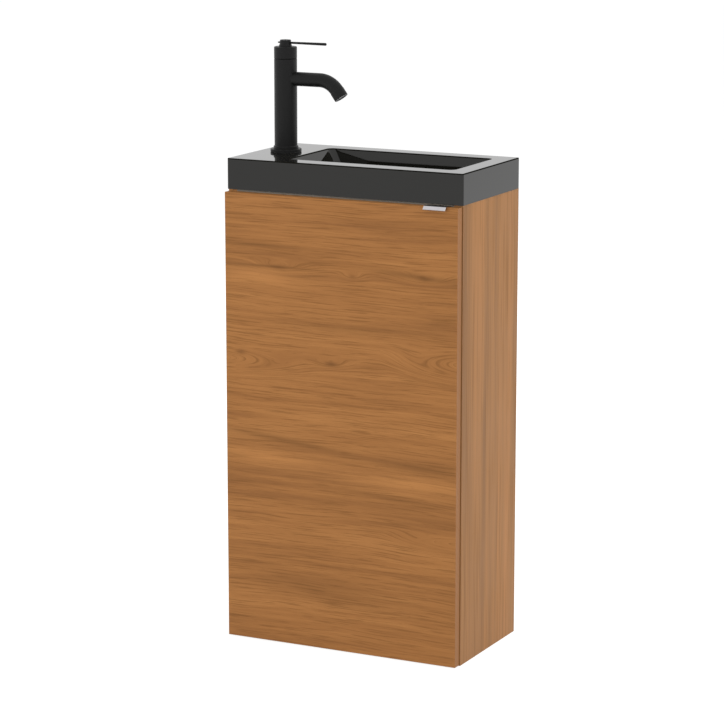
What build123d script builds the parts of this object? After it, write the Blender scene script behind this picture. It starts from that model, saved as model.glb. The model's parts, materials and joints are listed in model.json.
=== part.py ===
"""Slim cloakroom vanity unit: cabinet, hinged door, cast basin, mixer tap, waste and bottle trap.

Millimetres, +Z up. The origin is at the centre of the cabinet's base, the front faces -Y and the
back edges of the cabinet stand against the wall at +Y.
"""
import math
import os

from build123d import *

os.makedirs("parts", exist_ok=True)

# Cabinet
cabinet_width = 400.0
cabinet_height = 716.0
cabinet_depth = 206.0
panel_thickness = 15.0
front_rail_height = 60.0
rear_rail_height = 70.0
back_panel_thickness = 6.0
back_panel_inset = 12.0
back_panel_top = 400.0
groove_depth = 6.0
shelf_height = 330.0
shelf_side_clearance = 0.5
shelf_front_inset = 18.0
shelf_back_clearance = 1.0
shelf_peg_diameter = 5.0
shelf_peg_depth = 9.0
shelf_peg_stand_out = 8.0
shelf_peg_end_inset = 35.0
wall_hole_diameter = 7.0
wall_hole_spacing = 250.0

# Knock-down fittings
dowel_diameter = 8.0
dowel_length = 30.0
dowel_side_depth = 10.0
cam_diameter = 15.0
cam_thickness = 11.5
cam_centre_inset = 24.0
cam_bolt_diameter = 6.0
cam_bolt_side_depth = 10.0
bottom_dowel_spacing = 150.0
bottom_cam_spacing = 86.0
rail_fitting_spacing = 32.0

# Door
door_thickness = 15.0
door_gap = 1.0
door_base_gap = 1.0
door_top_gap = 3.0
door_side_gap = 1.5
door_edge_chamfer = 0.4
bumper_diameter = 8.0
bumper_clearance = 0.1
bumper_end_inset = 55.0

# Finger pull
pull_width = 37.0
pull_thickness = 1.5
pull_fold_reach = 2.6
pull_lip_reach = 3.9
pull_lip_drop = 4.6
pull_right_inset = 18.0
pull_back_inset = 1.0
pull_screw_spacing = 24.0
pull_screw_diameter = 3.0
pull_screw_head_diameter = 5.4
pull_screw_length = 14.0

# Cross recess of the countersunk screws
cross_slot_width = 0.8
cross_slot_margin = 1.1
cross_slot_depth = 0.8

# Concealed hinges: pivots are given from the cabinet's left front corner
lower_hinge_height = 100.0
upper_hinge_inset = 106.0
arm_pivot_inset = 23.5
arm_pivot_forward = 4.0
cup_pivot_inset = 9.0
cup_pivot_forward = 3.0
link_crank_inset = 11.76
link_crank_forward = 6.17
link_thickness = 2.4
link_height = 7.0
link_eye_diameter = 4.2
hinge_pin_diameter = 2.4
pin_running_clearance = 0.05
link_side_clearance = 0.2
cup_diameter = 35.0
cup_depth = 11.5
cup_wall = 1.0
cup_edge_distance = 3.5
cup_flange_height = 60.0
cup_flange_width = 22.0
cup_flange_thickness = 1.0
cup_screw_spacing = 48.0
cup_screw_offset = 6.0
cup_screw_diameter = 3.5
cup_screw_head_diameter = 6.6
cup_screw_length = 12.0
arm_ear_thickness = 1.5
arm_nose_radius = 2.8
arm_thickness = 5.2
arm_end_inset = 62.0
arm_body_start = 8.0
saddle_thickness = 3.9
saddle_start = 20.0
plate_thickness = 2.0
plate_centre_inset = 37.0
plate_width = 16.0
plate_height = 48.0
plate_screw_spacing = 32.0
plate_screw_diameter = 5.0
plate_screw_length = 12.0
plate_screw_head_diameter = 8.0
plate_screw_head_height = 1.6
arm_screw_diameter = 4.0
arm_screw_head_diameter = 7.0
arm_screw_head_height = 1.8
arm_screw_inset = 50.0

# Basin
basin_side_overhang = 1.0
basin_front_overhang = 3.5
basin_height = 48.0
basin_skirt = 14.0
basin_deck_thickness = 14.0
basin_corner_radius = 3.0
basin_edge_radius = 1.6
bowl_left_rim = 88.0
bowl_right_rim = 31.0
bowl_front_rim = 32.5
bowl_back_rim = 32.5
bowl_depth = 84.0
bowl_left_slope = 42.0
bowl_other_slope = 11.0
bowl_corner_radius = 9.0
bowl_floor_corner_radius = 16.0
bowl_floor_fillet = 10.0
bowl_lip_radius = 2.0
bowl_wall = 8.0

# Waste
waste_hole_diameter = 44.0
waste_thread_diameter = 41.9
waste_bore_diameter = 36.0
waste_flange_diameter = 63.0
waste_flange_thickness = 2.5
waste_length = 78.0
waste_bridge_thickness = 4.0
waste_bridge_drop = 22.0
waste_guide_wall = 2.0
plug_diameter = 58.0
plug_thickness = 4.0
plug_dome = 1.5
plug_seat_gap = 0.2
plug_stem_diameter = 10.0
plug_stem_clearance = 0.08
plug_stem_length = 30.0
waste_seal_thickness = 3.0
waste_seal_diameter = 60.0
backnut_flats = 54.0
backnut_height = 9.0

# Bottle trap
trap_washer_thickness = 3.0
trap_collar_height = 4.0
trap_tube_diameter = 34.0
trap_tube_bore = 28.0
trap_nut_diameter = 52.0
trap_nut_height = 24.0
trap_nut_lip = 3.0
trap_nut_ribs = 12
trap_nut_rib_diameter = 4.0
trap_shoulder_drop = 30.0
trap_body_diameter = 50.0
trap_body_bore = 44.0
trap_body_length = 55.0
trap_dip_length = 70.0
trap_outlet_drop = 50.0
outlet_bore_diameter = 32.2
outlet_tube_diameter = 38.0
outlet_reach = 55.0
outlet_socket_depth = 26.0
outlet_nut_diameter = 48.0
outlet_nut_length = 18.0
bottle_diameter = 58.0
bottle_wall = 3.0
bottle_overlap = 10.0
bottle_length = 60.0
bottle_edge_radius = 4.5
bottle_seal_thickness = 2.0

# Mixer tap
tap_left_inset = 45.0
tap_front_inset = 110.0
tap_hole_diameter = 35.0
tap_seal_thickness = 0.8
tap_flange_diameter = 49.0
tap_flange_thickness = 4.0
tap_step_diameter = 39.0
tap_step_top = 9.3
tap_column_diameter = 36.0
tap_column_top = 146.2
tap_groove = 0.6
tap_cap_top = 165.0
tap_cap_wall = 4.4
tap_edge_radius = 0.6
cap_edge_radius = 1.5
tap_chamber_diameter = 28.0
tap_chamber_bottom = 96.0
tap_spigot_diameter = 30.0
tap_spigot_height = 6.0
cap_running_clearance = 0.08
cartridge_height = 44.0
cartridge_mouth_diameter = 16.0
cartridge_mouth_depth = 10.0
cartridge_nut_height = 5.0
spout_axis_height = 115.0
spout_diameter = 22.0
spout_bore = 15.0
spout_straight = 60.0
spout_bend_radius = 37.6
spout_bend_angle = 54.0
collar_length = 13.0
collar_diameter = 22.8
collar_groove = 0.5
aerator_thickness = 4.0
aerator_recess = 1.0
aerator_hole_diameter = 1.2
aerator_outer_holes = 10
aerator_inner_holes = 5
hub_ball_diameter = 20.8
hub_ball_drop = 1.0
cap_hole_clearance = 0.2
hub_neck_diameter = 17.5
hub_top = 175.5
hub_edge_radius = 1.2
lever_rod_height = 171.0
lever_rod_diameter = 3.4
lever_rod_end_diameter = 4.4
lever_rod_end_radius = 1.6
lever_rod_tip_diameter = 1.8
lever_rod_tip_radius = 0.5
lever_rod_reach = 72.0
lever_rod_tail = 13.3
grub_screw_diameter = 3.0
grub_screw_length = 3.6
stem_diameter = 6.0
stem_bottom = 149.0
inlet_diameter = 9.0
inlet_depth = 14.0
inlet_spacing = 15.0
inlet_forward = 5.0
stud_diameter = 8.0
stud_back = 9.0
stud_length = 58.0
stud_thread_depth = 12.0
tap_washer_diameter = 44.0
tap_washer_thickness = 2.0
tap_washer_slot = 26.0
tap_nut_flats = 13.0
tap_nut_height = 8.0

# Places that follow from the sizes
half_width = cabinet_width / 2
front_y = -cabinet_depth / 2
back_y = cabinet_depth / 2
inner_half_width = half_width - panel_thickness
door_back_y = front_y - door_gap
door_front_y = door_back_y - door_thickness
door_left_x = -half_width + door_side_gap
door_right_x = half_width - door_side_gap
door_top = cabinet_height - door_top_gap
hinge_heights = (lower_hinge_height, cabinet_height - upper_hinge_inset)
back_panel_back_y = back_y - back_panel_inset
back_panel_front_y = back_panel_back_y - back_panel_thickness
basin_width = cabinet_width + 2 * basin_side_overhang
basin_left_x = -basin_width / 2
basin_front_y = front_y - basin_front_overhang
basin_bottom = cabinet_height
deck_top = basin_bottom + basin_height
deck_underside = deck_top - basin_deck_thickness
bowl_left_x = basin_left_x + bowl_left_rim
bowl_right_x = -basin_left_x - bowl_right_rim
bowl_front_y = basin_front_y + bowl_front_rim
bowl_back_y = back_y - bowl_back_rim
floor_left_x = bowl_left_x + bowl_left_slope
floor_right_x = bowl_right_x - bowl_other_slope
floor_front_y = bowl_front_y + bowl_other_slope
floor_back_y = bowl_back_y - bowl_other_slope
bowl_floor = deck_top - bowl_depth
bowl_underside = bowl_floor - bowl_wall
waste_x = (floor_left_x + floor_right_x) / 2
waste_y = (floor_front_y + floor_back_y) / 2
waste_bottom = bowl_floor - waste_length
tap_x = basin_left_x + tap_left_inset
tap_y = basin_front_y + tap_front_inset
ring_margin = 1.0


def box_between(low, high, mode=Mode.ADD):
    """Fill or cut the box between two corners."""
    size = [abs(high[i] - low[i]) for i in range(3)]
    with Locations(tuple((low[i] + high[i]) / 2 for i in range(3))):
        Box(*size, mode=mode)


def upright(x, y, bottom, top, radius, mode=Mode.ADD):
    """Add or cut a round bar along Z."""
    with Locations((x, y, (bottom + top) / 2)):
        Cylinder(radius, top - bottom, mode=mode)


def bar_along_x(start, end, y, z, radius, mode=Mode.ADD):
    """Add or cut a round bar along X."""
    with Locations(((start + end) / 2, y, z)):
        Cylinder(radius, abs(end - start), rotation=(0, 90, 0), mode=mode)


def bar_along_y(x, start, end, z, radius, mode=Mode.ADD):
    """Add or cut a round bar along Y."""
    with Locations((x, (start + end) / 2, z)):
        Cylinder(radius, abs(end - start), rotation=(90, 0, 0), mode=mode)


def keep(builder, name):
    """Label a finished piece and write its file."""
    builder.part.label = name
    export_step(builder.part, f"parts/{name}.step")


# Places of the dowels and cams along the ends of the cross members
member_mid_y = (front_y + back_panel_front_y) / 2
plate_mid_y = front_y + plate_centre_inset
screw_radius = plate_screw_diameter / 2
bottom_z = panel_thickness / 2
front_rail_y = front_y + panel_thickness / 2
rear_rail_y = back_y - panel_thickness / 2
front_rail_z = cabinet_height - front_rail_height / 2
rear_rail_z = cabinet_height - rear_rail_height / 2
bolt_radius = cam_bolt_diameter / 2
cam_radius = cam_diameter / 2
peg_radius = shelf_peg_diameter / 2
cam_floor = panel_thickness - cam_thickness
half_fitting = rail_fitting_spacing / 2
half_dowel = bottom_dowel_spacing / 2
half_cam = bottom_cam_spacing / 2
bottom_dowels = [(member_mid_y - half_dowel, bottom_z), (member_mid_y + half_dowel, bottom_z)]
bottom_cams = [(member_mid_y - half_cam, bottom_z), (member_mid_y + half_cam, bottom_z)]
front_rail_dowel = (front_rail_y, front_rail_z - half_fitting)
front_rail_cam = (front_rail_y, front_rail_z + half_fitting)
rear_rail_dowel = (rear_rail_y, rear_rail_z - half_fitting)
rear_rail_cam = (rear_rail_y, rear_rail_z + half_fitting)
dowel_places = bottom_dowels + [front_rail_dowel, rear_rail_dowel]
bolt_places = bottom_cams + [front_rail_cam, rear_rail_cam]
peg_front_y = front_y + shelf_front_inset + shelf_peg_end_inset
peg_back_y = back_panel_front_y - shelf_peg_end_inset
peg_z = shelf_height - shelf_peg_diameter / 2
peg_places = [(peg_front_y, peg_z), (peg_back_y, peg_z)]


def dowel_holes(places):
    """Cut the dowel holes of both ends of a cross member, and of the side panels that it meets."""
    for side in (-1, 1):
        outer = side * (inner_half_width + dowel_side_depth)
        inner = outer - side * dowel_length
        for y, z in places:
            bar_along_x(outer, inner, y, z, dowel_diameter / 2, Mode.SUBTRACT)


def bolt_holes(places):
    """Cut the cam bolt holes of both ends of a cross member, and of the side panels that it meets."""
    for side in (-1, 1):
        outer = side * (inner_half_width + cam_bolt_side_depth)
        inner = side * (inner_half_width - cam_centre_inset)
        for y, z in places:
            bar_along_x(outer, inner, y, z, bolt_radius, Mode.SUBTRACT)


# Side panels, grooved for the back panel and drilled for the fittings
for side, name in ((-1, "left_side_panel"), (1, "right_side_panel")):
    outer_x = side * half_width
    inner_x = side * inner_half_width
    with BuildPart() as side_panel:
        box_between((outer_x, front_y, 0), (inner_x, back_y, cabinet_height))
        groove_x = inner_x + side * groove_depth
        groove_low = (inner_x, back_panel_front_y, 0)
        box_between(groove_low, (groove_x, back_panel_back_y, back_panel_top), Mode.SUBTRACT)
        dowel_holes(dowel_places)
        bolt_holes(bolt_places)
        peg_end = inner_x + side * shelf_peg_depth
        for peg_y, z in peg_places:
            bar_along_x(inner_x, peg_end, peg_y, z, peg_radius, Mode.SUBTRACT)
        if side == -1:
            screw_end = inner_x - plate_screw_length
            for hinge_z in hinge_heights:
                for offset in (-plate_screw_spacing / 2, plate_screw_spacing / 2):
                    screw_z = hinge_z + offset
                    bar_along_x(screw_end, inner_x, plate_mid_y, screw_z, screw_radius, Mode.SUBTRACT)
    keep(side_panel, name)

# Bottom panel, grooved for the back panel
with BuildPart() as bottom_panel:
    box_between((-inner_half_width, front_y, 0), (inner_half_width, back_y, panel_thickness))
    groove_floor = panel_thickness - groove_depth
    groove_low = (-inner_half_width, back_panel_front_y, groove_floor)
    groove_high = (inner_half_width, back_panel_back_y, panel_thickness)
    box_between(groove_low, groove_high, Mode.SUBTRACT)
    dowel_holes(bottom_dowels)
    bolt_holes(bottom_cams)
    for side in (-1, 1):
        cam_x = side * (inner_half_width - cam_centre_inset)
        for cam_y, _ in bottom_cams:
            upright(cam_x, cam_y, cam_floor, panel_thickness, cam_radius, Mode.SUBTRACT)
keep(bottom_panel, "bottom_panel")

# Front and rear rails under the basin
with BuildPart() as front_rail:
    rail_bottom = cabinet_height - front_rail_height
    rail_back_y = front_y + panel_thickness
    rail_low = (-inner_half_width, front_y, rail_bottom)
    box_between(rail_low, (inner_half_width, rail_back_y, cabinet_height))
    dowel_holes([front_rail_dowel])
    bolt_holes([front_rail_cam])
    for side in (-1, 1):
        cam_x = side * (inner_half_width - cam_centre_inset)
        cam_back = front_y + panel_thickness
        cam_front = cam_back - cam_thickness
        bar_along_y(cam_x, cam_front, cam_back, front_rail_cam[1], cam_radius, Mode.SUBTRACT)
keep(front_rail, "front_rail")

with BuildPart() as rear_rail:
    rail_bottom = cabinet_height - rear_rail_height
    rail_low = (-inner_half_width, back_y - panel_thickness, rail_bottom)
    box_between(rail_low, (inner_half_width, back_y, cabinet_height))
    dowel_holes([rear_rail_dowel])
    bolt_holes([rear_rail_cam])
    for side in (-1, 1):
        cam_x = side * (inner_half_width - cam_centre_inset)
        cam_front = back_y - panel_thickness
        cam_back = cam_front + cam_thickness
        bar_along_y(cam_x, cam_front, cam_back, rear_rail_cam[1], cam_radius, Mode.SUBTRACT)
        hole_x = side * wall_hole_spacing / 2
        bar_along_y(hole_x, cam_front, back_y, rear_rail_z, wall_hole_diameter / 2, Mode.SUBTRACT)
keep(rear_rail, "rear_rail")

# Back panel, standing in the grooves and open above for the pipes
with BuildPart() as back_panel:
    panel_reach = inner_half_width + groove_depth
    panel_low = (-panel_reach, back_panel_front_y, panel_thickness - groove_depth)
    box_between(panel_low, (panel_reach, back_panel_back_y, back_panel_top))
    for side in (-1, 1):
        tab_x = side * panel_reach
        tab_top = panel_thickness - groove_depth
        tab_low = (tab_x, back_panel_front_y, 0)
        box_between(tab_low, (side * inner_half_width, back_panel_back_y, tab_top))
keep(back_panel, "back_panel")

# Shelf on four pegs
with BuildPart() as shelf:
    shelf_reach = inner_half_width - shelf_side_clearance
    shelf_low = (-shelf_reach, front_y + shelf_front_inset, shelf_height)
    shelf_top = shelf_height + panel_thickness
    box_between(shelf_low, (shelf_reach, back_panel_front_y - shelf_back_clearance, shelf_top))
keep(shelf, "shelf")

with BuildPart() as shelf_pegs:
    for side in (-1, 1):
        peg_inner = side * (inner_half_width - shelf_peg_stand_out)
        peg_outer = side * (inner_half_width + shelf_peg_depth)
        for peg_y, z in peg_places:
            bar_along_x(peg_inner, peg_outer, peg_y, z, peg_radius)
keep(shelf_pegs, "shelf_pegs")

# Wood dowels
with BuildPart() as wood_dowels:
    for side in (-1, 1):
        outer = side * (inner_half_width + dowel_side_depth)
        inner = outer - side * dowel_length
        for y, z in dowel_places:
            bar_along_x(outer, inner, y, z, dowel_diameter / 2)
keep(wood_dowels, "wood_dowels")

# Cam bolts, from the side panels into the middle of the cams
with BuildPart() as cam_bolts:
    for side in (-1, 1):
        outer = side * (inner_half_width + cam_bolt_side_depth)
        inner = side * (inner_half_width - cam_centre_inset + cam_diameter / 4)
        for y, z in bolt_places:
            bar_along_x(outer, inner, y, z, bolt_radius)
keep(cam_bolts, "cam_bolts")

# Cam locks, each with a slot for the bolt and a cross recess
with BuildPart() as cam_locks:
    for side in (-1, 1):
        cam_x = side * (inner_half_width - cam_centre_inset)
        for cam_y, _ in bottom_cams:
            upright(cam_x, cam_y, cam_floor, panel_thickness, cam_radius)
        front_face = front_y + panel_thickness
        rear_face = back_y - panel_thickness
        bar_along_y(cam_x, front_face - cam_thickness, front_face, front_rail_cam[1], cam_radius)
        bar_along_y(cam_x, rear_face, rear_face + cam_thickness, rear_rail_cam[1], cam_radius)
        outer = side * (inner_half_width - cam_centre_inset + cam_diameter)
        inner = side * (inner_half_width - cam_centre_inset + cam_diameter / 4)
        for y, z in bolt_places:
            bar_along_x(outer, inner, y, z, bolt_radius, Mode.SUBTRACT)
keep(cam_locks, "cam_locks")

# Door, with pockets for the hinge cups and holes for its screws
cup_x = door_left_x + cup_edge_distance + cup_diameter / 2
cup_screw_x = cup_x + cup_screw_offset
pull_right_x = door_right_x - pull_right_inset
pull_left_x = pull_right_x - pull_width
pull_mid_x = (pull_left_x + pull_right_x) / 2
pull_screw_y = (door_front_y + door_back_y) / 2
pull_top = door_top + pull_thickness
cup_floor_y = door_back_y - cup_depth
flange_front_y = door_back_y - cup_flange_thickness
flange_half_width = cup_flange_width / 2
flange_half_height = cup_flange_height / 2
cup_screw_radius = cup_screw_diameter / 2
cup_head_radius = cup_screw_head_diameter / 2


def screw_seat(height):
    """Give the plane on the door's back where a cup screw's head lies."""
    return Plane((cup_screw_x, door_back_y, height), x_dir=(1, 0, 0), z_dir=(0, 1, 0))


with BuildPart() as door:
    box_between((door_left_x, door_front_y, door_base_gap), (door_right_x, door_back_y, door_top))
    for hinge_z in hinge_heights:
        bar_along_y(cup_x, cup_floor_y, door_back_y, hinge_z, cup_diameter / 2, Mode.SUBTRACT)
        flange_low = (cup_x - flange_half_width, flange_front_y, hinge_z - flange_half_height)
        flange_high = (cup_x + flange_half_width, door_back_y, hinge_z + flange_half_height)
        box_between(flange_low, flange_high, Mode.SUBTRACT)
        for offset in (-cup_screw_spacing / 2, cup_screw_spacing / 2):
            with Locations(screw_seat(hinge_z + offset)):
                CounterSinkHole(cup_screw_radius, cup_head_radius, depth=cup_screw_length)
    for offset in (-pull_screw_spacing / 2, pull_screw_spacing / 2):
        tip_z = pull_top - pull_screw_length
        hole_x = pull_mid_x + offset
        upright(hole_x, pull_screw_y, tip_z, door_top, pull_screw_diameter / 2, Mode.SUBTRACT)
    chamfer(door.edges().filter_by(Axis.Z).group_by(Axis.Y)[0], door_edge_chamfer)
keep(door, "door")

# Door bumpers on the closing side's front edge
with BuildPart() as door_bumpers:
    bumper_x = half_width - panel_thickness / 2
    for bumper_z in (bumper_end_inset, cabinet_height - bumper_end_inset):
        bar_along_y(bumper_x, door_back_y + bumper_clearance, front_y, bumper_z, bumper_diameter / 2)
keep(door_bumpers, "door_bumpers")

# Finger pull: a folded strip over the door's top edge, whose lip slopes down and forward
pull_back_y = door_back_y - pull_back_inset
pull_middle_z = door_top + pull_thickness / 2
fold_y = door_front_y - pull_fold_reach
with BuildPart() as finger_pull:
    with BuildSketch(Plane.YZ.offset(pull_left_x)):
        with BuildLine() as pull_line:
            Polyline(
                (pull_back_y, pull_middle_z),
                (fold_y, pull_middle_z),
                (fold_y - pull_lip_reach, pull_middle_z - pull_lip_drop),
            )
        trace(pull_line.line, pull_thickness)
        with Locations((fold_y, pull_middle_z)):
            Circle(pull_thickness / 2)
    extrude(amount=pull_width)
    for offset in (-pull_screw_spacing / 2, pull_screw_spacing / 2):
        with Locations((pull_mid_x + offset, pull_screw_y, pull_top)):
            CounterSinkHole(pull_screw_diameter / 2, pull_screw_head_diameter / 2, depth=pull_thickness)
keep(finger_pull, "finger_pull")


def countersunk_screw(head_plane, length, diameter, head_diameter):
    """Make a countersunk screw with its head face on the plane and its shank behind it."""
    cone = (head_diameter - diameter) / 2
    with BuildPart() as screw:
        with BuildSketch(head_plane):
            Circle(head_diameter / 2)
        with BuildSketch(head_plane.offset(-cone)):
            Circle(diameter / 2)
        loft(ruled=True)
        with BuildSketch(head_plane.offset(-length)):
            Circle(diameter / 2)
        extrude(amount=length - cone)
        slot_length = head_diameter - 2 * cross_slot_margin
        with BuildSketch(head_plane.offset(-cross_slot_depth)):
            Rectangle(slot_length, cross_slot_width)
            Rectangle(cross_slot_width, slot_length)
        extrude(amount=cross_slot_depth, mode=Mode.SUBTRACT)
    return screw.part


# Screws of the finger pull
with BuildPart() as finger_pull_screws:
    for offset in (-pull_screw_spacing / 2, pull_screw_spacing / 2):
        head_plane = Plane((pull_mid_x + offset, pull_screw_y, pull_top))
        pull_screw = countersunk_screw(
            head_plane, pull_screw_length, pull_screw_diameter, pull_screw_head_diameter
        )
        add(pull_screw)
keep(finger_pull_screws, "finger_pull_screws")

# Hinge pivots in the row's own frame
arm_pivot = (-half_width + arm_pivot_inset, front_y - arm_pivot_forward)
cup_pivot = (-half_width + cup_pivot_inset, front_y - cup_pivot_forward)
link_crank = (-half_width + link_crank_inset, front_y - link_crank_forward)
pin_radius = hinge_pin_diameter / 2
link_half = link_height / 2
ear_inner = link_half + link_side_clearance
ear_outer = ear_inner + arm_ear_thickness
plate_face_x = -inner_half_width + plate_thickness
saddle_face_x = plate_face_x + saddle_thickness
arm_face_x = saddle_face_x + arm_thickness

# Half length of the pins in the cups, whose ends sit in the cup wall and stop at its outer face
cup_pin_outer = cup_x - cup_pivot[0] + pin_radius
cup_pin_reach = math.sqrt((cup_diameter / 2) ** 2 - cup_pin_outer**2)

# Hinge cups: a thin cup with a flange let into the door's back
with BuildPart() as hinge_cups:
    for hinge_z in hinge_heights:
        flange_low = (cup_x - flange_half_width, flange_front_y, hinge_z - flange_half_height)
        flange_high = (cup_x + flange_half_width, door_back_y, hinge_z + flange_half_height)
        box_between(flange_low, flange_high)
        bar_along_y(cup_x, cup_floor_y, door_back_y, hinge_z, cup_diameter / 2)
        cup_inside = cup_diameter / 2 - cup_wall
        bar_along_y(cup_x, cup_floor_y + cup_wall, door_back_y, hinge_z, cup_inside, Mode.SUBTRACT)
        upright(*cup_pivot, hinge_z - cup_pin_reach, hinge_z + cup_pin_reach, pin_radius, Mode.SUBTRACT)
        for offset in (-cup_screw_spacing / 2, cup_screw_spacing / 2):
            with Locations(screw_seat(hinge_z + offset)):
                CounterSinkHole(cup_screw_radius, cup_head_radius, depth=cup_flange_thickness)
keep(hinge_cups, "hinge_cups")

# Pins in the cups, ending in the cup walls
with BuildPart() as hinge_cup_pins:
    for hinge_z in hinge_heights:
        upright(*cup_pivot, hinge_z - cup_pin_reach, hinge_z + cup_pin_reach, pin_radius)
keep(hinge_cup_pins, "hinge_cup_pins")

# Screws of the hinge cups
with BuildPart() as hinge_cup_screws:
    for hinge_z in hinge_heights:
        for offset in (-cup_screw_spacing / 2, cup_screw_spacing / 2):
            cup_screw = countersunk_screw(
                screw_seat(hinge_z + offset), cup_screw_length, cup_screw_diameter, cup_screw_head_diameter
            )
            add(cup_screw)
keep(hinge_cup_screws, "hinge_cup_screws")

# Cranked links between the arm's pivot and the cup's pivot
with BuildPart() as hinge_links:
    for hinge_z in hinge_heights:
        with BuildSketch(Plane.XY.offset(hinge_z - link_half)):
            with BuildLine() as link_line:
                Polyline(cup_pivot, link_crank, arm_pivot)
            trace(link_line.line, link_thickness)
            with Locations(cup_pivot, arm_pivot):
                Circle(link_eye_diameter / 2)
            with Locations(link_crank):
                Circle(link_thickness / 2)
            with Locations(cup_pivot, arm_pivot):
                Circle(pin_radius + pin_running_clearance, mode=Mode.SUBTRACT)
        extrude(amount=link_height)
keep(hinge_links, "hinge_links")

# Hinge arms: two ears at the nose, one bar behind them
arm_end_y = front_y + arm_end_inset
arm_screw_y = front_y + arm_screw_inset
arm_screw_radius = arm_screw_diameter / 2
arm_body_y = front_y + arm_body_start
with BuildPart() as hinge_arms:
    for hinge_z in hinge_heights:
        for ear_low in (hinge_z + ear_inner, hinge_z - ear_outer):
            with BuildSketch(Plane.XY.offset(ear_low)):
                with Locations(arm_pivot):
                    Circle(arm_nose_radius)
                with BuildLine():
                    Polyline(
                        (arm_pivot[0] - arm_nose_radius, arm_pivot[1]),
                        (arm_pivot[0] + arm_nose_radius, arm_pivot[1]),
                        (arm_face_x, arm_body_y + ring_margin),
                        (saddle_face_x, arm_body_y + ring_margin),
                        close=True,
                    )
                make_face()
            extrude(amount=arm_ear_thickness)
        arm_low = (saddle_face_x, arm_body_y, hinge_z - ear_outer)
        box_between(arm_low, (arm_face_x, arm_end_y, hinge_z + ear_outer))
        upright(*arm_pivot, hinge_z - ear_outer, hinge_z + ear_outer, pin_radius, Mode.SUBTRACT)
        bar_along_x(saddle_face_x, arm_face_x, arm_screw_y, hinge_z, arm_screw_radius, Mode.SUBTRACT)
keep(hinge_arms, "hinge_arms")

with BuildPart() as hinge_arm_pins:
    for hinge_z in hinge_heights:
        upright(*arm_pivot, hinge_z - ear_outer, hinge_z + ear_outer, pin_radius)
keep(hinge_arm_pins, "hinge_arm_pins")

# Mounting plates with a saddle under each arm
with BuildPart() as hinge_plates:
    for hinge_z in hinge_heights:
        plate_low = (-inner_half_width, plate_mid_y - plate_width / 2, hinge_z - plate_height / 2)
        plate_high = (plate_face_x, plate_mid_y + plate_width / 2, hinge_z + plate_height / 2)
        box_between(plate_low, plate_high)
        saddle_low = (-inner_half_width, front_y + saddle_start, hinge_z - ear_outer)
        box_between(saddle_low, (saddle_face_x, arm_end_y, hinge_z + ear_outer))
        for offset in (-plate_screw_spacing / 2, plate_screw_spacing / 2):
            hole_z = hinge_z + offset
            bar_along_x(-inner_half_width, plate_face_x, plate_mid_y, hole_z, screw_radius, Mode.SUBTRACT)
        bar_along_x(plate_face_x, saddle_face_x, arm_screw_y, hinge_z, arm_screw_radius, Mode.SUBTRACT)
keep(hinge_plates, "hinge_plates")

with BuildPart() as hinge_plate_screws:
    for hinge_z in hinge_heights:
        for offset in (-plate_screw_spacing / 2, plate_screw_spacing / 2):
            screw_z = hinge_z + offset
            screw_tip = -inner_half_width - plate_screw_length
            head_x = plate_face_x + plate_screw_head_height
            bar_along_x(screw_tip, plate_face_x, plate_mid_y, screw_z, screw_radius)
            bar_along_x(plate_face_x, head_x, plate_mid_y, screw_z, plate_screw_head_diameter / 2)
keep(hinge_plate_screws, "hinge_plate_screws")

with BuildPart() as hinge_arm_screws:
    for hinge_z in hinge_heights:
        head_x = arm_face_x + arm_screw_head_height
        bar_along_x(plate_face_x, arm_face_x, arm_screw_y, hinge_z, arm_screw_radius)
        bar_along_x(arm_face_x, head_x, arm_screw_y, hinge_z, arm_screw_head_diameter / 2)
keep(hinge_arm_screws, "hinge_arm_screws")


def bowl_section(height, grown, slope, corner):
    """Draw one rounded rectangle of the bowl at a height, a share of the slope in from the rim."""
    left = bowl_left_x + slope * bowl_left_slope - grown
    right = bowl_right_x - slope * bowl_other_slope + grown
    front = bowl_front_y + slope * bowl_other_slope - grown
    back = bowl_back_y - slope * bowl_other_slope + grown
    with BuildSketch(Plane.XY.offset(height)) as section:
        with Locations(((left + right) / 2, (front + back) / 2)):
            RectangleRounded(right - left, back - front, corner + grown)
    return section.sketch


# Space inside the bowl
with BuildPart() as bowl_space:
    rim_section = bowl_section(deck_top, 0, 0, bowl_corner_radius)
    floor_section = bowl_section(bowl_floor, 0, 1, bowl_floor_corner_radius)
    loft([rim_section, floor_section], ruled=True)
    fillet(bowl_space.faces().sort_by(Axis.Z)[0].edges(), bowl_floor_fillet)

# Basin: a skirted slab with a tap deck on the left and the bowl let into it
basin_back_y = back_y
skirt_left_x = basin_left_x + basin_skirt
skirt_front_y = basin_front_y + basin_skirt
with BuildPart() as basin:
    box_between((basin_left_x, basin_front_y, basin_bottom), (-basin_left_x, basin_back_y, deck_top))
    fillet(basin.edges().filter_by(Axis.Z), basin_corner_radius)
    fillet(basin.faces().sort_by(Axis.Z)[-1].edges(), basin_edge_radius)
    hollow_low = (skirt_left_x, skirt_front_y, basin_bottom)
    hollow_high = (-skirt_left_x, basin_back_y - basin_skirt, deck_underside)
    box_between(hollow_low, hollow_high, Mode.SUBTRACT)
    deck_middle = (deck_top + deck_underside) / 2
    shell_section = bowl_section(deck_middle, bowl_wall, 0, bowl_corner_radius)
    underside_section = bowl_section(bowl_underside, bowl_wall, 1, bowl_floor_corner_radius)
    loft([shell_section, underside_section], ruled=True)
    add(bowl_space.part, mode=Mode.SUBTRACT)
    upright(waste_x, waste_y, bowl_underside, bowl_floor, waste_hole_diameter / 2, Mode.SUBTRACT)
    upright(tap_x, tap_y, deck_underside, deck_top, tap_hole_diameter / 2, Mode.SUBTRACT)
    rim_edges = basin.faces().filter_by(Axis.Z).sort_by(Axis.Z)[-1].inner_wires().sort_by(Edge.length)
    fillet(rim_edges[-1].edges(), bowl_lip_radius)
keep(basin, "basin")

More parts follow.
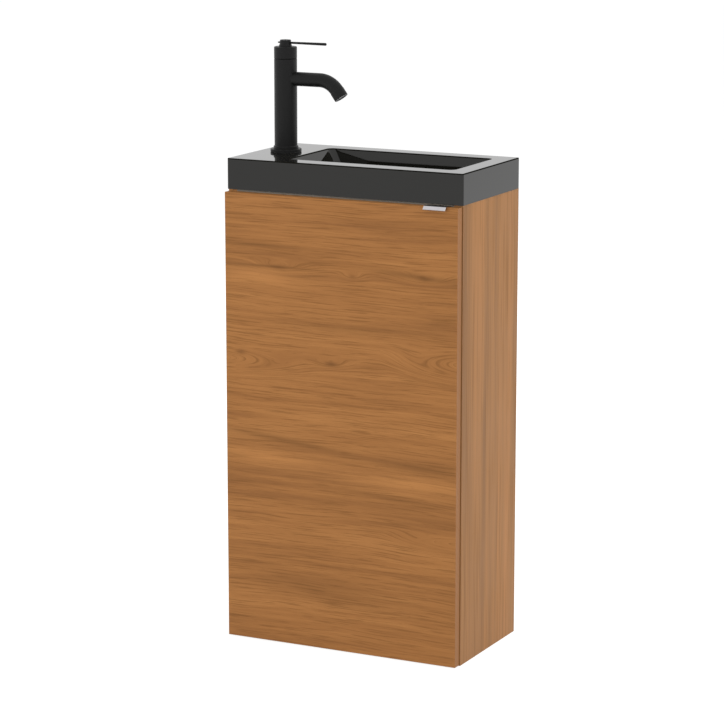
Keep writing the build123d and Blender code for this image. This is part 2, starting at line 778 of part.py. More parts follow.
# Waste body: flange in the bowl, threaded tail and a bridge that guides the plug's stem
waste_flange_top = bowl_floor + waste_flange_thickness
bridge_top = bowl_floor - waste_bridge_drop
bridge_bottom = bridge_top - waste_bridge_thickness
stem_radius = plug_stem_diameter / 2
guide_radius = stem_radius + plug_stem_clearance
with BuildPart() as waste_body:
    upright(waste_x, waste_y, bowl_floor, waste_flange_top, waste_flange_diameter / 2)
    upright(waste_x, waste_y, waste_bottom, bowl_floor, waste_thread_diameter / 2)
    upright(waste_x, waste_y, waste_bottom, waste_flange_top, waste_bore_diameter / 2, Mode.SUBTRACT)
    bridge_reach = waste_bore_diameter / 2 + ring_margin
    bridge_low = (waste_x - bridge_reach, waste_y - stem_radius, bridge_bottom)
    box_between(bridge_low, (waste_x + bridge_reach, waste_y + stem_radius, bridge_top))
    upright(waste_x, waste_y, bridge_bottom, bridge_top, stem_radius + waste_guide_wall)
    upright(waste_x, waste_y, bridge_bottom, bridge_top, guide_radius, Mode.SUBTRACT)
keep(waste_body, "waste_body")

# Push plug with its stem
plug_bottom = waste_flange_top + plug_seat_gap
with BuildPart() as waste_plug:
    plug_top = plug_bottom + plug_thickness
    upright(waste_x, waste_y, plug_bottom, plug_top, plug_diameter / 2)
    fillet(waste_plug.faces().sort_by(Axis.Z)[-1].edges(), plug_dome)
    upright(waste_x, waste_y, plug_bottom - plug_stem_length, plug_bottom, stem_radius)
keep(waste_plug, "waste_plug")

# Seal and backnut under the bowl
seal_bottom = bowl_underside - waste_seal_thickness
with BuildPart() as waste_seal:
    upright(waste_x, waste_y, seal_bottom, bowl_underside, waste_seal_diameter / 2)
    upright(waste_x, waste_y, seal_bottom, bowl_underside, waste_thread_diameter / 2, Mode.SUBTRACT)
keep(waste_seal, "waste_seal")

with BuildPart() as waste_backnut:
    with BuildSketch(Plane.XY.offset(seal_bottom - backnut_height)):
        with Locations((waste_x, waste_y)):
            RegularPolygon(backnut_flats / 2, 6, major_radius=False)
            Circle(waste_thread_diameter / 2, mode=Mode.SUBTRACT)
    extrude(amount=backnut_height)
keep(waste_backnut, "waste_backnut")

# Trap inlet: washer, ribbed nut and the trap's collar
tail_radius = waste_thread_diameter / 2
collar_top = waste_bottom - trap_washer_thickness
collar_bottom = collar_top - trap_collar_height
nut_bottom = collar_bottom - trap_nut_lip
nut_top = nut_bottom + trap_nut_height
tube_radius = trap_tube_diameter / 2
with BuildPart() as trap_inlet_washer:
    upright(waste_x, waste_y, collar_top, waste_bottom, tail_radius - ring_margin)
    upright(waste_x, waste_y, collar_top, waste_bottom, trap_tube_bore / 2, Mode.SUBTRACT)
keep(trap_inlet_washer, "trap_inlet_washer")

with BuildPart() as trap_inlet_nut:
    upright(waste_x, waste_y, nut_bottom, nut_top, trap_nut_diameter / 2)
    with Locations((waste_x, waste_y, (nut_bottom + nut_top) / 2)):
        with PolarLocations(trap_nut_diameter / 2, trap_nut_ribs):
            Cylinder(trap_nut_rib_diameter / 2, trap_nut_height)
    upright(waste_x, waste_y, collar_bottom, nut_top, tail_radius, Mode.SUBTRACT)
    upright(waste_x, waste_y, nut_bottom, collar_bottom, tube_radius, Mode.SUBTRACT)
keep(trap_inlet_nut, "trap_inlet_nut")

# Trap body with its dip tube and outlet
body_top = collar_top - trap_shoulder_drop
body_bottom = body_top - trap_body_length
outlet_z = collar_top - trap_outlet_drop
outlet_end_y = waste_y + outlet_reach
socket_y = outlet_end_y - outlet_socket_depth
body_radius = trap_body_diameter / 2
with BuildPart() as trap_body:
    upright(waste_x, waste_y, body_bottom, body_top, body_radius)
    bar_along_y(waste_x, waste_y, outlet_end_y, outlet_z, outlet_tube_diameter / 2)
    upright(waste_x, waste_y, body_bottom, body_top - bottle_wall, trap_body_bore / 2, Mode.SUBTRACT)
    bar_along_y(waste_x, waste_y, socket_y, outlet_z, trap_tube_bore / 2, Mode.SUBTRACT)
    bar_along_y(waste_x, socket_y, outlet_end_y, outlet_z, outlet_bore_diameter / 2, Mode.SUBTRACT)
    upright(waste_x, waste_y, body_top - trap_dip_length, collar_top, tube_radius)
    upright(waste_x, waste_y, collar_bottom, collar_top, tail_radius - ring_margin)
    upright(waste_x, waste_y, body_top - trap_dip_length, collar_top, trap_tube_bore / 2, Mode.SUBTRACT)
keep(trap_body, "trap_body")

# Outlet nut around the socket's end
with BuildPart() as trap_outlet_nut:
    nut_start = outlet_end_y - outlet_nut_length
    bar_along_y(waste_x, nut_start, outlet_end_y, outlet_z, outlet_nut_diameter / 2)
    with BuildSketch(Plane((waste_x, nut_start, outlet_z), x_dir=(1, 0, 0), z_dir=(0, 1, 0))):
        with PolarLocations(outlet_nut_diameter / 2, trap_nut_ribs):
            Circle(trap_nut_rib_diameter / 2)
    extrude(amount=outlet_nut_length)
    bar_along_y(waste_x, nut_start, outlet_end_y, outlet_z, outlet_tube_diameter / 2, Mode.SUBTRACT)
keep(trap_outlet_nut, "trap_outlet_nut")

# Bottle screwed on from below, with its seal
bottle_top = body_bottom + bottle_overlap
bottle_bottom = bottle_top - bottle_length
with BuildPart() as trap_bottle:
    upright(waste_x, waste_y, bottle_bottom, bottle_top, bottle_diameter / 2)
    fillet(trap_bottle.faces().sort_by(Axis.Z)[0].edges(), bottle_edge_radius)
    with Locations((waste_x, waste_y, bottle_top - bottle_overlap / 2)):
        with PolarLocations(bottle_diameter / 2, trap_nut_ribs):
            Cylinder(trap_nut_rib_diameter / 2, bottle_overlap)
    upright(waste_x, waste_y, body_bottom, bottle_top, body_radius, Mode.SUBTRACT)
    bottle_inside = bottle_diameter / 2 - 2 * bottle_wall
    upright(waste_x, waste_y, bottle_bottom + bottle_wall, body_bottom, bottle_inside, Mode.SUBTRACT)
    seal_seat = body_bottom - bottle_seal_thickness
    upright(waste_x, waste_y, seal_seat, body_bottom, body_radius, Mode.SUBTRACT)
keep(trap_bottle, "trap_bottle")

with BuildPart() as trap_bottle_seal:
    upright(waste_x, waste_y, seal_seat, body_bottom, body_radius)
    upright(waste_x, waste_y, seal_seat, body_bottom, trap_body_bore / 2, Mode.SUBTRACT)
keep(trap_bottle_seal, "trap_bottle_seal")

# Heights of the tap above the deck
flange_bottom = deck_top + tap_seal_thickness
flange_top = flange_bottom + tap_flange_thickness
step_top = deck_top + tap_step_top
column_top = deck_top + tap_column_top
cap_bottom = column_top + tap_groove
cap_top = deck_top + tap_cap_top
chamber_bottom = deck_top + tap_chamber_bottom
chamber_radius = tap_chamber_diameter / 2
spigot_radius = tap_spigot_diameter / 2
spout_z = deck_top + spout_axis_height
stud_y = tap_y + stud_back
inlet_y = tap_y - inlet_forward
inlet_radius = inlet_diameter / 2
inlet_end = flange_top + inlet_depth
stud_radius = stud_diameter / 2
stud_top = flange_top + stud_thread_depth

# Seal under the tap's flange
with BuildPart() as tap_seal:
    upright(tap_x, tap_y, deck_top, flange_bottom, tap_flange_diameter / 2 - ring_margin)
    upright(tap_x, tap_y, deck_top, flange_bottom, tap_hole_diameter / 2, Mode.SUBTRACT)
keep(tap_seal, "tap_seal")

# Path of the spout: straight out, then bent down to the outlet
turn = math.radians(spout_bend_angle)
bend_end_x = tap_x + spout_straight + spout_bend_radius * math.sin(turn)
bend_end_z = spout_z - spout_bend_radius * (1 - math.cos(turn))
outlet_direction = (math.cos(turn), 0, -math.sin(turn))
outlet_plane = Plane((bend_end_x, tap_y, bend_end_z), x_dir=(0, 1, 0), z_dir=outlet_direction)
with BuildLine(Plane.XZ.offset(-tap_y)) as spout_path:
    run = Line((tap_x, spout_z), (tap_x + spout_straight, spout_z))
    JernArc(start=run @ 1, tangent=run % 1, radius=spout_bend_radius, arc_size=-spout_bend_angle)

# Tap body: column and spout in one casting, with the cartridge chamber and the waterway
with BuildPart() as tap_body:
    upright(tap_x, tap_y, step_top, column_top, tap_column_diameter / 2)
    upright(tap_x, tap_y, flange_top, step_top, tap_step_diameter / 2)
    ring_edges = tap_body.edges().filter_by(GeomType.CIRCLE).group_by(Axis.Z)
    fillet(ring_edges[1] + ring_edges[-1], tap_edge_radius)
    upright(tap_x, tap_y, column_top, column_top + tap_spigot_height, spigot_radius)
    with BuildSketch(Plane.YZ.offset(tap_x)) as spout_section:
        with Locations((tap_y, spout_z)):
            Circle(spout_diameter / 2)
    sweep(path=spout_path.wire())
    upright(tap_x, tap_y, chamber_bottom, column_top + tap_spigot_height, chamber_radius, Mode.SUBTRACT)
    with BuildSketch(Plane.YZ.offset(tap_x)) as waterway_section:
        with Locations((tap_y, spout_z)):
            Circle(spout_bore / 2)
    sweep(path=spout_path.wire(), mode=Mode.SUBTRACT)
    for side in (-1, 1):
        inlet_x = tap_x + side * inlet_spacing / 2
        upright(inlet_x, inlet_y, flange_top, inlet_end, inlet_radius, Mode.SUBTRACT)
    upright(tap_x, stud_y, flange_top, stud_top, stud_radius, Mode.SUBTRACT)
keep(tap_body, "tap_body")

# Base flange ring under the column
with BuildPart() as tap_flange:
    upright(tap_x, tap_y, flange_bottom, flange_top, tap_flange_diameter / 2)
    fillet(tap_flange.faces().sort_by(Axis.Z)[-1].edges(), tap_edge_radius)
    for side in (-1, 1):
        inlet_x = tap_x + side * inlet_spacing / 2
        upright(inlet_x, inlet_y, flange_bottom, flange_top, inlet_radius, Mode.SUBTRACT)
    upright(tap_x, stud_y, flange_bottom, flange_top, stud_radius, Mode.SUBTRACT)
keep(tap_flange, "tap_flange")

# Aerator collar and its insert at the outlet
with BuildPart() as aerator_collar:
    with BuildSketch(outlet_plane):
        Circle(collar_diameter / 2)
        Circle(spout_bore / 2, mode=Mode.SUBTRACT)
    extrude(amount=collar_length)
    fillet(aerator_collar.faces().sort_by(Axis.Z)[0].edges(), collar_groove)
keep(aerator_collar, "aerator_collar")

with BuildPart() as aerator_insert:
    with BuildSketch(outlet_plane.offset(collar_length - aerator_recess - aerator_thickness)):
        Circle(spout_bore / 2)
        with PolarLocations(spout_bore / 3, aerator_outer_holes):
            Circle(aerator_hole_diameter / 2, mode=Mode.SUBTRACT)
        with PolarLocations(spout_bore / 6, aerator_inner_holes):
            Circle(aerator_hole_diameter / 2, mode=Mode.SUBTRACT)
    extrude(amount=aerator_thickness)
keep(aerator_insert, "aerator_insert")

# Cartridge and the nut that holds it down
cartridge_top = chamber_bottom + cartridge_height
mouth_radius = cartridge_mouth_diameter / 2
with BuildPart() as cartridge:
    upright(tap_x, tap_y, chamber_bottom, cartridge_top, chamber_radius - ring_margin)
    mouth_bottom = cartridge_top - cartridge_mouth_depth
    upright(tap_x, tap_y, mouth_bottom, cartridge_top, mouth_radius, Mode.SUBTRACT)
keep(cartridge, "cartridge")

with BuildPart() as cartridge_nut:
    nut_top = cartridge_top + cartridge_nut_height
    upright(tap_x, tap_y, cartridge_top, nut_top, chamber_radius)
    upright(tap_x, tap_y, cartridge_top, nut_top, mouth_radius, Mode.SUBTRACT)
keep(cartridge_nut, "cartridge_nut")

# Turning cap over the column's spigot
ball_radius = hub_ball_diameter / 2
ball_z = cap_top - hub_ball_drop
spigot_top = column_top + tap_spigot_height
with BuildPart() as tap_cap:
    upright(tap_x, tap_y, cap_bottom, cap_top, tap_column_diameter / 2)
    fillet(tap_cap.faces().sort_by(Axis.Z)[-1].edges(), cap_edge_radius)
    fillet(tap_cap.faces().sort_by(Axis.Z)[0].edges(), tap_edge_radius)
    cap_bore = spigot_radius + cap_running_clearance
    cap_ceiling = cap_top - tap_cap_wall
    upright(tap_x, tap_y, cap_bottom, spigot_top + ring_margin, cap_bore, Mode.SUBTRACT)
    upright(tap_x, tap_y, spigot_top, cap_ceiling, chamber_radius, Mode.SUBTRACT)
    upright(tap_x, tap_y, cap_ceiling, cap_top, ball_radius + cap_hole_clearance, Mode.SUBTRACT)
keep(tap_cap, "tap_cap")

# Lever hub: a ball in the cap's mouth with a neck above it
rod_z = deck_top + lever_rod_height
hub_top_z = deck_top + hub_top
rod_radius = lever_rod_diameter / 2
neck_radius = hub_neck_diameter / 2
lever_stem_radius = stem_diameter / 2
stem_top_z = ball_z - ball_radius / 2
stem_bottom_z = deck_top + stem_bottom
with BuildPart() as lever_hub:
    with Locations((tap_x, tap_y, ball_z)):
        Sphere(ball_radius)
    upright(tap_x, tap_y, ball_z, hub_top_z, neck_radius)
    fillet(lever_hub.faces().sort_by(Axis.Z)[-1].edges(), hub_edge_radius)
    bar_along_x(tap_x - ball_radius, tap_x + ball_radius, tap_y, rod_z, rod_radius, Mode.SUBTRACT)
    grub_low = hub_top_z - grub_screw_length
    upright(tap_x, tap_y, grub_low, hub_top_z, grub_screw_diameter / 2, Mode.SUBTRACT)
    upright(tap_x, tap_y, ball_z - ball_radius, stem_top_z, lever_stem_radius, Mode.SUBTRACT)
keep(lever_hub, "lever_hub")

with BuildPart() as lever_rod:
    tip_x = tap_x - lever_rod_tail
    end_x = tap_x + lever_rod_reach
    with BuildSketch(Plane.XZ.offset(-tap_y)):
        with BuildLine():
            Polyline(
                (tip_x, rod_z),
                (tip_x, rod_z + lever_rod_tip_diameter / 2),
                (tap_x - neck_radius, rod_z + rod_radius),
                (tap_x + neck_radius, rod_z + rod_radius),
                (end_x, rod_z + lever_rod_end_diameter / 2),
                (end_x, rod_z),
                close=True,
            )
        make_face()
    revolve(axis=Axis((tap_x, tap_y, rod_z), (1, 0, 0)))
    fillet(lever_rod.faces().sort_by(Axis.X)[-1].edges(), lever_rod_end_radius)
    fillet(lever_rod.faces().sort_by(Axis.X)[0].edges(), lever_rod_tip_radius)
keep(lever_rod, "lever_rod")

with BuildPart() as lever_grub_screw:
    grub_bottom = rod_z + rod_radius
    upright(tap_x, tap_y, grub_bottom, hub_top_z - collar_groove, grub_screw_diameter / 2)
keep(lever_grub_screw, "lever_grub_screw")

with BuildPart() as cartridge_stem:
    upright(tap_x, tap_y, stem_bottom_z - cartridge_mouth_depth / 2, stem_top_z, lever_stem_radius)
keep(cartridge_stem, "cartridge_stem")

# Fixing stud, horseshoe washer and nut under the deck
washer_bottom = deck_underside - tap_washer_thickness
with BuildPart() as tap_stud:
    upright(tap_x, stud_y, stud_top - stud_length, stud_top, stud_radius)
keep(tap_stud, "tap_stud")

with BuildPart() as tap_washer:
    with BuildSketch(Plane.XY.offset(washer_bottom)):
        with Locations((tap_x, tap_y)):
            Circle(tap_washer_diameter / 2)
        slot_depth = tap_washer_diameter / 2 + stud_back - tap_nut_flats / 2 - ring_margin
        slot_mid_y = tap_y - tap_washer_diameter / 2 + slot_depth / 2
        with Locations((tap_x, slot_mid_y)):
            Rectangle(tap_washer_slot, slot_depth, mode=Mode.SUBTRACT)
        with Locations((tap_x, stud_y)):
            Circle(stud_diameter / 2, mode=Mode.SUBTRACT)
    extrude(amount=tap_washer_thickness)
keep(tap_washer, "tap_washer")

with BuildPart() as tap_nut:
    with BuildSketch(Plane.XY.offset(washer_bottom - tap_nut_height)):
        with Locations((tap_x, stud_y)):
            RegularPolygon(tap_nut_flats / 2, 6, major_radius=False)
            Circle(stud_diameter / 2, mode=Mode.SUBTRACT)
    extrude(amount=tap_nut_height)
keep(tap_nut, "tap_nut")
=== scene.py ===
"""Looks of the slim cloakroom vanity unit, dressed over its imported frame.

Metres, +Z up, in the frame of the CAD: the origin is at the centre of the cabinet's base, the front
faces -Y. Every finish is procedural and reads the coordinates of the piece that wears it.
"""
import json
import logging
import math
from dataclasses import dataclass
from enum import Enum
from typing import Any, Dict, List, Sequence, Tuple, Union

import bmesh
import bpy
from mathutils import Euler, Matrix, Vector


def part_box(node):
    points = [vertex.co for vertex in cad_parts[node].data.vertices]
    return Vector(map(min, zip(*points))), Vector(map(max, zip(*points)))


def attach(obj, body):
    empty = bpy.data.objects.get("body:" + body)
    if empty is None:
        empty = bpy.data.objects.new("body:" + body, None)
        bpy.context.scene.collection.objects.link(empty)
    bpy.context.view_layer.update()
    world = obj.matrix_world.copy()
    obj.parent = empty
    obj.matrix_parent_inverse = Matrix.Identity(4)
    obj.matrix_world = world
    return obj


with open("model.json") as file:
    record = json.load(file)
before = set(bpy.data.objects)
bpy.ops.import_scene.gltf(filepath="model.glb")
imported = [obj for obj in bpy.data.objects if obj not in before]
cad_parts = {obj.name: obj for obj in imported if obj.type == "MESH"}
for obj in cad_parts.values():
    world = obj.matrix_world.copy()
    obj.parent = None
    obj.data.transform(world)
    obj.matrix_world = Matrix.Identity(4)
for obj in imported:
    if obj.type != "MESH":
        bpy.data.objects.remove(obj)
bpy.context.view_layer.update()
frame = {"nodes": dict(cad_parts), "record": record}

Colour = Tuple[float, float, float]
Point = Tuple[float, float, float]
WHITE = (1.0, 1.0, 1.0)
log = logging.getLogger("cloakroom_vanity")


def tone(red: int, green: int, blue: int) -> Colour:
    """Turn a display colour into scene light, by the standard display curve.

    Args:
        red: Red from 0 to 255.
        green: Green from 0 to 255.
        blue: Blue from 0 to 255.

    Returns:
        The three linear values.
    """
    shares = (red / 255.0, green / 255.0, blue / 255.0)
    return tuple(c / 12.92 if c <= 0.04045 else ((c + 0.055) / 1.055) ** 2.4 for c in shares)


def scaled(colour: Colour, factor: float) -> Colour:
    """Make a colour darker or lighter, up to full light.

    Args:
        colour: The linear values.
        factor: What each of them is multiplied by.

    Returns:
        The new colour.
    """
    return tuple(min(1.0, value * factor) for value in colour)


class Value:
    """A number that changes over a surface. Arithmetic on it adds Math nodes."""

    def __init__(self, graph: "Graph", socket: bpy.types.NodeSocket) -> None:
        """Keep the graph and the socket that carries the number."""
        self.graph = graph
        self.socket = socket

    def math(self, operation: str, *others: Union["Value", float]) -> "Value":
        """Add one Math node whose first number is this one.

        Args:
            operation: Blender's name of the operation.
            others: Its second and third numbers.

        Returns:
            The result.
        """
        return self.graph.math(operation, self, *others)

    def __add__(self, other: Union["Value", float]) -> "Value":
        """Add two numbers."""
        return self.graph.math("ADD", self, other)

    def __radd__(self, other: float) -> "Value":
        """Add two numbers."""
        return self.graph.math("ADD", other, self)

    def __sub__(self, other: Union["Value", float]) -> "Value":
        """Subtract the other number."""
        return self.graph.math("SUBTRACT", self, other)

    def __rsub__(self, other: float) -> "Value":
        """Subtract this number from the other."""
        return self.graph.math("SUBTRACT", other, self)

    def __mul__(self, other: Union["Value", float]) -> "Value":
        """Multiply two numbers."""
        return self.graph.math("MULTIPLY", self, other)

    def __rmul__(self, other: float) -> "Value":
        """Multiply two numbers."""
        return self.graph.math("MULTIPLY", other, self)

    def step(self, low: float, high: float) -> "Value":
        """Rise smoothly from 0 to 1 between two values.

        Args:
            low: Where the rise starts. It may be above high, and the value then falls.
            high: Where it ends.

        Returns:
            The smoothed mask.
        """
        inputs = {"Value": self, "From Min": low, "From Max": high}
        return self.graph.number("ShaderNodeMapRange", {"interpolation_type": "SMOOTHSTEP"}, inputs)


Number = Union[Value, float]
Feed = Union[Value, bpy.types.NodeSocket, float, Colour]


class Graph:
    """The nodes of one material, or of the world."""

    EDGE_SAMPLES = 6
    EDGE_TURN = (0.995, 0.86)

    def __init__(self, owner: Union[bpy.types.Material, bpy.types.World]) -> None:
        """Empty the owner's nodes and add its output.

        Args:
            owner: The material or the world that the nodes belong to.
        """
        owner.use_nodes = True
        self.owner = owner
        self.tree = owner.node_tree
        self.tree.nodes.clear()
        self.places: Dict[str, bpy.types.NodeSocket] = {}
        kind = "World" if isinstance(owner, bpy.types.World) else "Material"
        self.output = self.node("ShaderNodeOutput" + kind, {}, {})

    def feed(self, socket: bpy.types.NodeSocket, value: Feed) -> None:
        """Link a value to a socket, or set it there when it is constant.

        Args:
            socket: The socket that takes the value.
            value: A value, a socket, a number or a colour.
        """
        if isinstance(value, Value):
            value = value.socket
        if isinstance(value, bpy.types.NodeSocket):
            self.tree.links.new(value, socket)
        elif isinstance(value, tuple) and socket.type == "RGBA":
            socket.default_value = (*value, 1.0)
        else:
            socket.default_value = value

    def node(self, kind: str, settings: Dict[str, Any], inputs: Dict[Any, Feed]) -> bpy.types.Node:
        """Add any node.

        Args:
            kind: Blender's type of the node.
            settings: What is set first, such as an operation, or a ramp's stops under "stops".
            inputs: Values of its sockets by name or number.

        Returns:
            The node.
        """
        made = self.tree.nodes.new(kind)
        for key, setting in settings.items():
            if key == "stops":
                self.set_stops(made.color_ramp, setting)
            else:
                setattr(made, key, setting)
        for key, value in inputs.items():
            self.feed(made.inputs[key], value)
        return made

    @staticmethod
    def set_stops(ramp: bpy.types.ColorRamp, stops: Sequence[Tuple[float, Colour]]) -> None:
        """Give a colour ramp its stops.

        Args:
            ramp: The ramp.
            stops: Position and colour of each stop, in order.
        """
        while len(ramp.elements) < len(stops):
            ramp.elements.new(1.0)
        for element, (position, colour) in zip(ramp.elements, stops):
            element.position = position
            element.color = (*colour, 1.0)

    def number(self, kind: str, settings: Dict[str, Any], inputs: Dict[Any, Feed]) -> Value:
        """Add a node and take the number that it gives first.

        Args:
            kind: Blender's type of the node.
            settings: What is set first.
            inputs: Values of its sockets.

        Returns:
            The number.
        """
        return Value(self, self.node(kind, settings, inputs).outputs[0])

    def math(self, operation: str, *numbers: Number) -> Value:
        """Add one Math node.

        Args:
            operation: Blender's name of the operation.
            numbers: Its numbers, in order.

        Returns:
            The result.
        """
        return self.number("ShaderNodeMath", {"operation": operation}, dict(enumerate(numbers)))

    def place(self, name: str) -> Value:
        """Read where the surface is or which way it faces, in the piece's own frame.

        Args:
            name: A coordinate "X", "Y" or "Z", a part of the surface's direction "NX", "NY" or
                "NZ", or "point" for the three coordinates as one vector.

        Returns:
            The coordinate in metres, the part of the direction from -1 to 1, or the vector.
        """
        if not self.places:
            where = self.node("ShaderNodeTexCoord", {}, {})
            split = self.node("ShaderNodeSeparateXYZ", {}, {0: where.outputs["Object"]})
            turned = self.node("ShaderNodeSeparateXYZ", {}, {0: where.outputs["Normal"]})
            self.places = {"point": where.outputs["Object"]}
            for axis in "XYZ":
                self.places[axis] = split.outputs[axis]
                self.places["N" + axis] = turned.outputs[axis]
        return Value(self, self.places[name])

    def facing(self, axis: str) -> Value:
        """Tell how much the surface faces an axis, whichever way.

        Args:
            axis: "X", "Y" or "Z".

        Returns:
            1 where the surface is square to the axis, 0 where it runs along it.
        """
        return self.place("N" + axis).math("ABSOLUTE")

    def noise(self, vector: Feed, scale: float, detail: float, roughness: float) -> Value:
        """Add fractal noise.

        Args:
            vector: Where it is read.
            scale: Waves per unit of the vector.
            detail: Octaves.
            roughness: How strong the finer octaves are.

        Returns:
            A number round 0.5.
        """
        inputs = {"Vector": vector, "Scale": scale, "Detail": detail, "Roughness": roughness}
        return self.number("ShaderNodeTexNoise", {}, inputs)

    def speckle(self, scale: float, detail: float = 2.0, roughness: float = 0.5) -> Value:
        """Add noise that is even all ways in the piece's own frame.

        Args:
            scale: Waves per metre.
            detail: Octaves.
            roughness: How strong the finer octaves are.

        Returns:
            A number round 0.5.
        """
        return self.noise(self.place("point"), scale, detail, roughness)

    def waves(self, x: Number, y: Number, z: Number, detail: float = 2.0,
              roughness: float = 0.5) -> Value:
        """Add noise over three numbers, one wave per unit of each.

        Args:
            x: The first number.
            y: The second number.
            z: The third number.
            detail: Octaves.
            roughness: How strong the finer octaves are.

        Returns:
            A number round 0.5.
        """
        vector = self.node("ShaderNodeCombineXYZ", {}, {0: x, 1: y, 2: z}).outputs[0]
        return self.noise(vector, 1.0, detail, roughness)

    def threads(self, scales: Point, detail: float = 2.0, roughness: float = 0.5) -> Value:
        """Add noise in the piece's own frame that is drawn out along an axis.

        Args:
            scales: Waves per metre along X, Y and Z.
            detail: Octaves.
            roughness: How strong the finer octaves are.

        Returns:
            A number round 0.5.
        """
        x, y, z = (self.place(axis) * scale for axis, scale in zip("XYZ", scales))
        return self.waves(x, y, z, detail, roughness)

    def ramp(self, value: Value, stops: Sequence[Tuple[float, Colour]]) -> bpy.types.NodeSocket:
        """Turn a number into a colour.

        Args:
            value: A number from 0 to 1.
            stops: Position and colour of each stop.

        Returns:
            The colour.
        """
        return self.node("ShaderNodeValToRGB", {"stops": stops}, {0: value}).outputs[0]

    def blend(self, share: Feed, first: Feed, second: Feed) -> bpy.types.NodeSocket:
        """Mix two colours.

        Args:
            share: How much of the second colour.
            first: The first colour.
            second: The second colour.

        Returns:
            The colour.
        """
        settings = {"data_type": "RGBA", "blend_type": "MIX", "clamp_result": True}
        return self.node("ShaderNodeMix", settings, {0: share, 6: first, 7: second}).outputs[2]

    def edges(self, radius: float) -> Value:
        """Find the worn edges of a piece.

        Args:
            radius: Width of the edge in metres.

        Returns:
            1 on sharp edges, 0 away from them.
        """
        soft = self.node("ShaderNodeBevel", {"samples": self.EDGE_SAMPLES}, {"Radius": radius})
        hard = self.node("ShaderNodeNewGeometry", {}, {})
        inputs = {0: soft.outputs[0], 1: hard.outputs["Normal"]}
        turn = self.node("ShaderNodeVectorMath", {"operation": "DOT_PRODUCT"}, inputs)
        return Value(self, turn.outputs["Value"]).step(*self.EDGE_TURN)

    def bump(self, height: Value, strength: float, distance: float) -> bpy.types.NodeSocket:
        """Turn a height into a normal.

        Args:
            height: The height, from 0 to 1.
            strength: How strongly it shows.
            distance: What a height of 1 stands for, in metres.

        Returns:
            The normal.
        """
        inputs = {"Height": height, "Strength": strength, "Distance": distance}
        return self.node("ShaderNodeBump", {}, inputs).outputs[0]

    def seen(self) -> Value:
        """Tell the rays that show a surface from those that only carry its light.

        Returns:
            1 for rays of the camera, of reflections and through glass, and 0 for the others.
        """
        rays = self.node("ShaderNodeLightPath", {}, {})
        names = ("Is Camera Ray", "Is Glossy Ray", "Is Transmission Ray")
        camera, glossy, through = (Value(self, rays.outputs[name]) for name in names)
        return camera.math("MAXIMUM", glossy).math("MAXIMUM", through)

    def end(self, shader: bpy.types.Node) -> None:
        """Lead a shader to the output."""
        self.feed(self.output.inputs["Surface"], shader.outputs[0])

    def close(self, **inputs: Feed) -> bpy.types.Material:
        """End the material in one Principled shader.

        Args:
            inputs: Values of its sockets, with _ for each space in their names.

        Returns:
            The material.
        """
        named = {key.replace("_", " "): value for key, value in inputs.items()}
        self.end(self.node("ShaderNodeBsdfPrincipled", {}, named))
        return self.owner


class Grain(Enum):
    """Which way the figure of a board runs, as its axis along and its axis across."""

    LEVEL = ("X", "Z")
    UPRIGHT = ("Z", "Y")
    FLAT = ("X", "Y")


@dataclass(frozen=True)
class Spot:
    """A place on a board's figure, in metres along and across the grain, and its reach."""

    along: float
    across: float
    length: float
    height: float

    def square(self, along: Value, across: Value) -> Value:
        """Give the square of the distance from the spot's middle.

        Args:
            along: The place along the grain.
            across: The place across it.

        Returns:
            The square, which is 1 at the end of the spot's reach.
        """
        near = (along - self.along) * (1.0 / self.length)
        level = (across - self.across) * (1.0 / self.height)
        return near * near + level * level

    def hill(self, along: Value, across: Value) -> Value:
        """Raise a smooth hill, 1 at the spot's middle and falling to 0 round it."""
        return (self.square(along, across) * -1.0).math("EXPONENT")


@dataclass(frozen=True)
class Knot(Spot):
    """A place where the figure swells round a knot, or closes round it in a whorl."""

    lift: float = 0.0
    dark: float = 0.0
    whorl: bool = False
    core_length: float = 0.3
    core_height: float = 0.4

    def core(self) -> Spot:
        """Give the knot's dark middle, whose reach is a share of the knot's."""
        length, height = self.length * self.core_length, self.height * self.core_height
        return Spot(self.along, self.across, length, height)


@dataclass(frozen=True)
class Streak(Spot):
    """A soft streak along the grain, darker than the board, or lighter with a share below 0."""

    share: float = 0.5
    slope: float = 0.0


@dataclass(frozen=True)
class Layer:
    """One layer of noise in a board's figure, in waves per metre along and across the grain."""

    along: float
    across: float
    seed: float = 0.0
    detail: float = 2.0
    roughness: float = 0.5

    def read(self, graph: Graph, along: Value, across: Value, seed: float) -> Value:
        """Add the layer's noise.

        Args:
            graph: The material's nodes.
            along: The place along the grain.
            across: The place across it.
            seed: What sets this board's figure apart.

        Returns:
            A number round 0.5.
        """
        return graph.waves(along * self.along, across * self.across, self.seed + seed,
                           self.detail, self.roughness)


SLOW_BEND = Layer(2.6, 5.0)
BROAD_BANDS = Layer(2.0, 17.0, 3.0)
GROWTH_STREAKS = Layer(4.5, 95.0, 7.0, 3.0, 0.6)
FINE_LINES = Layer(15.0, 400.0, 11.0, 2.0, 0.6)
OPEN_PORES = Layer(70.0, 1500.0, 0.0, 1.0)


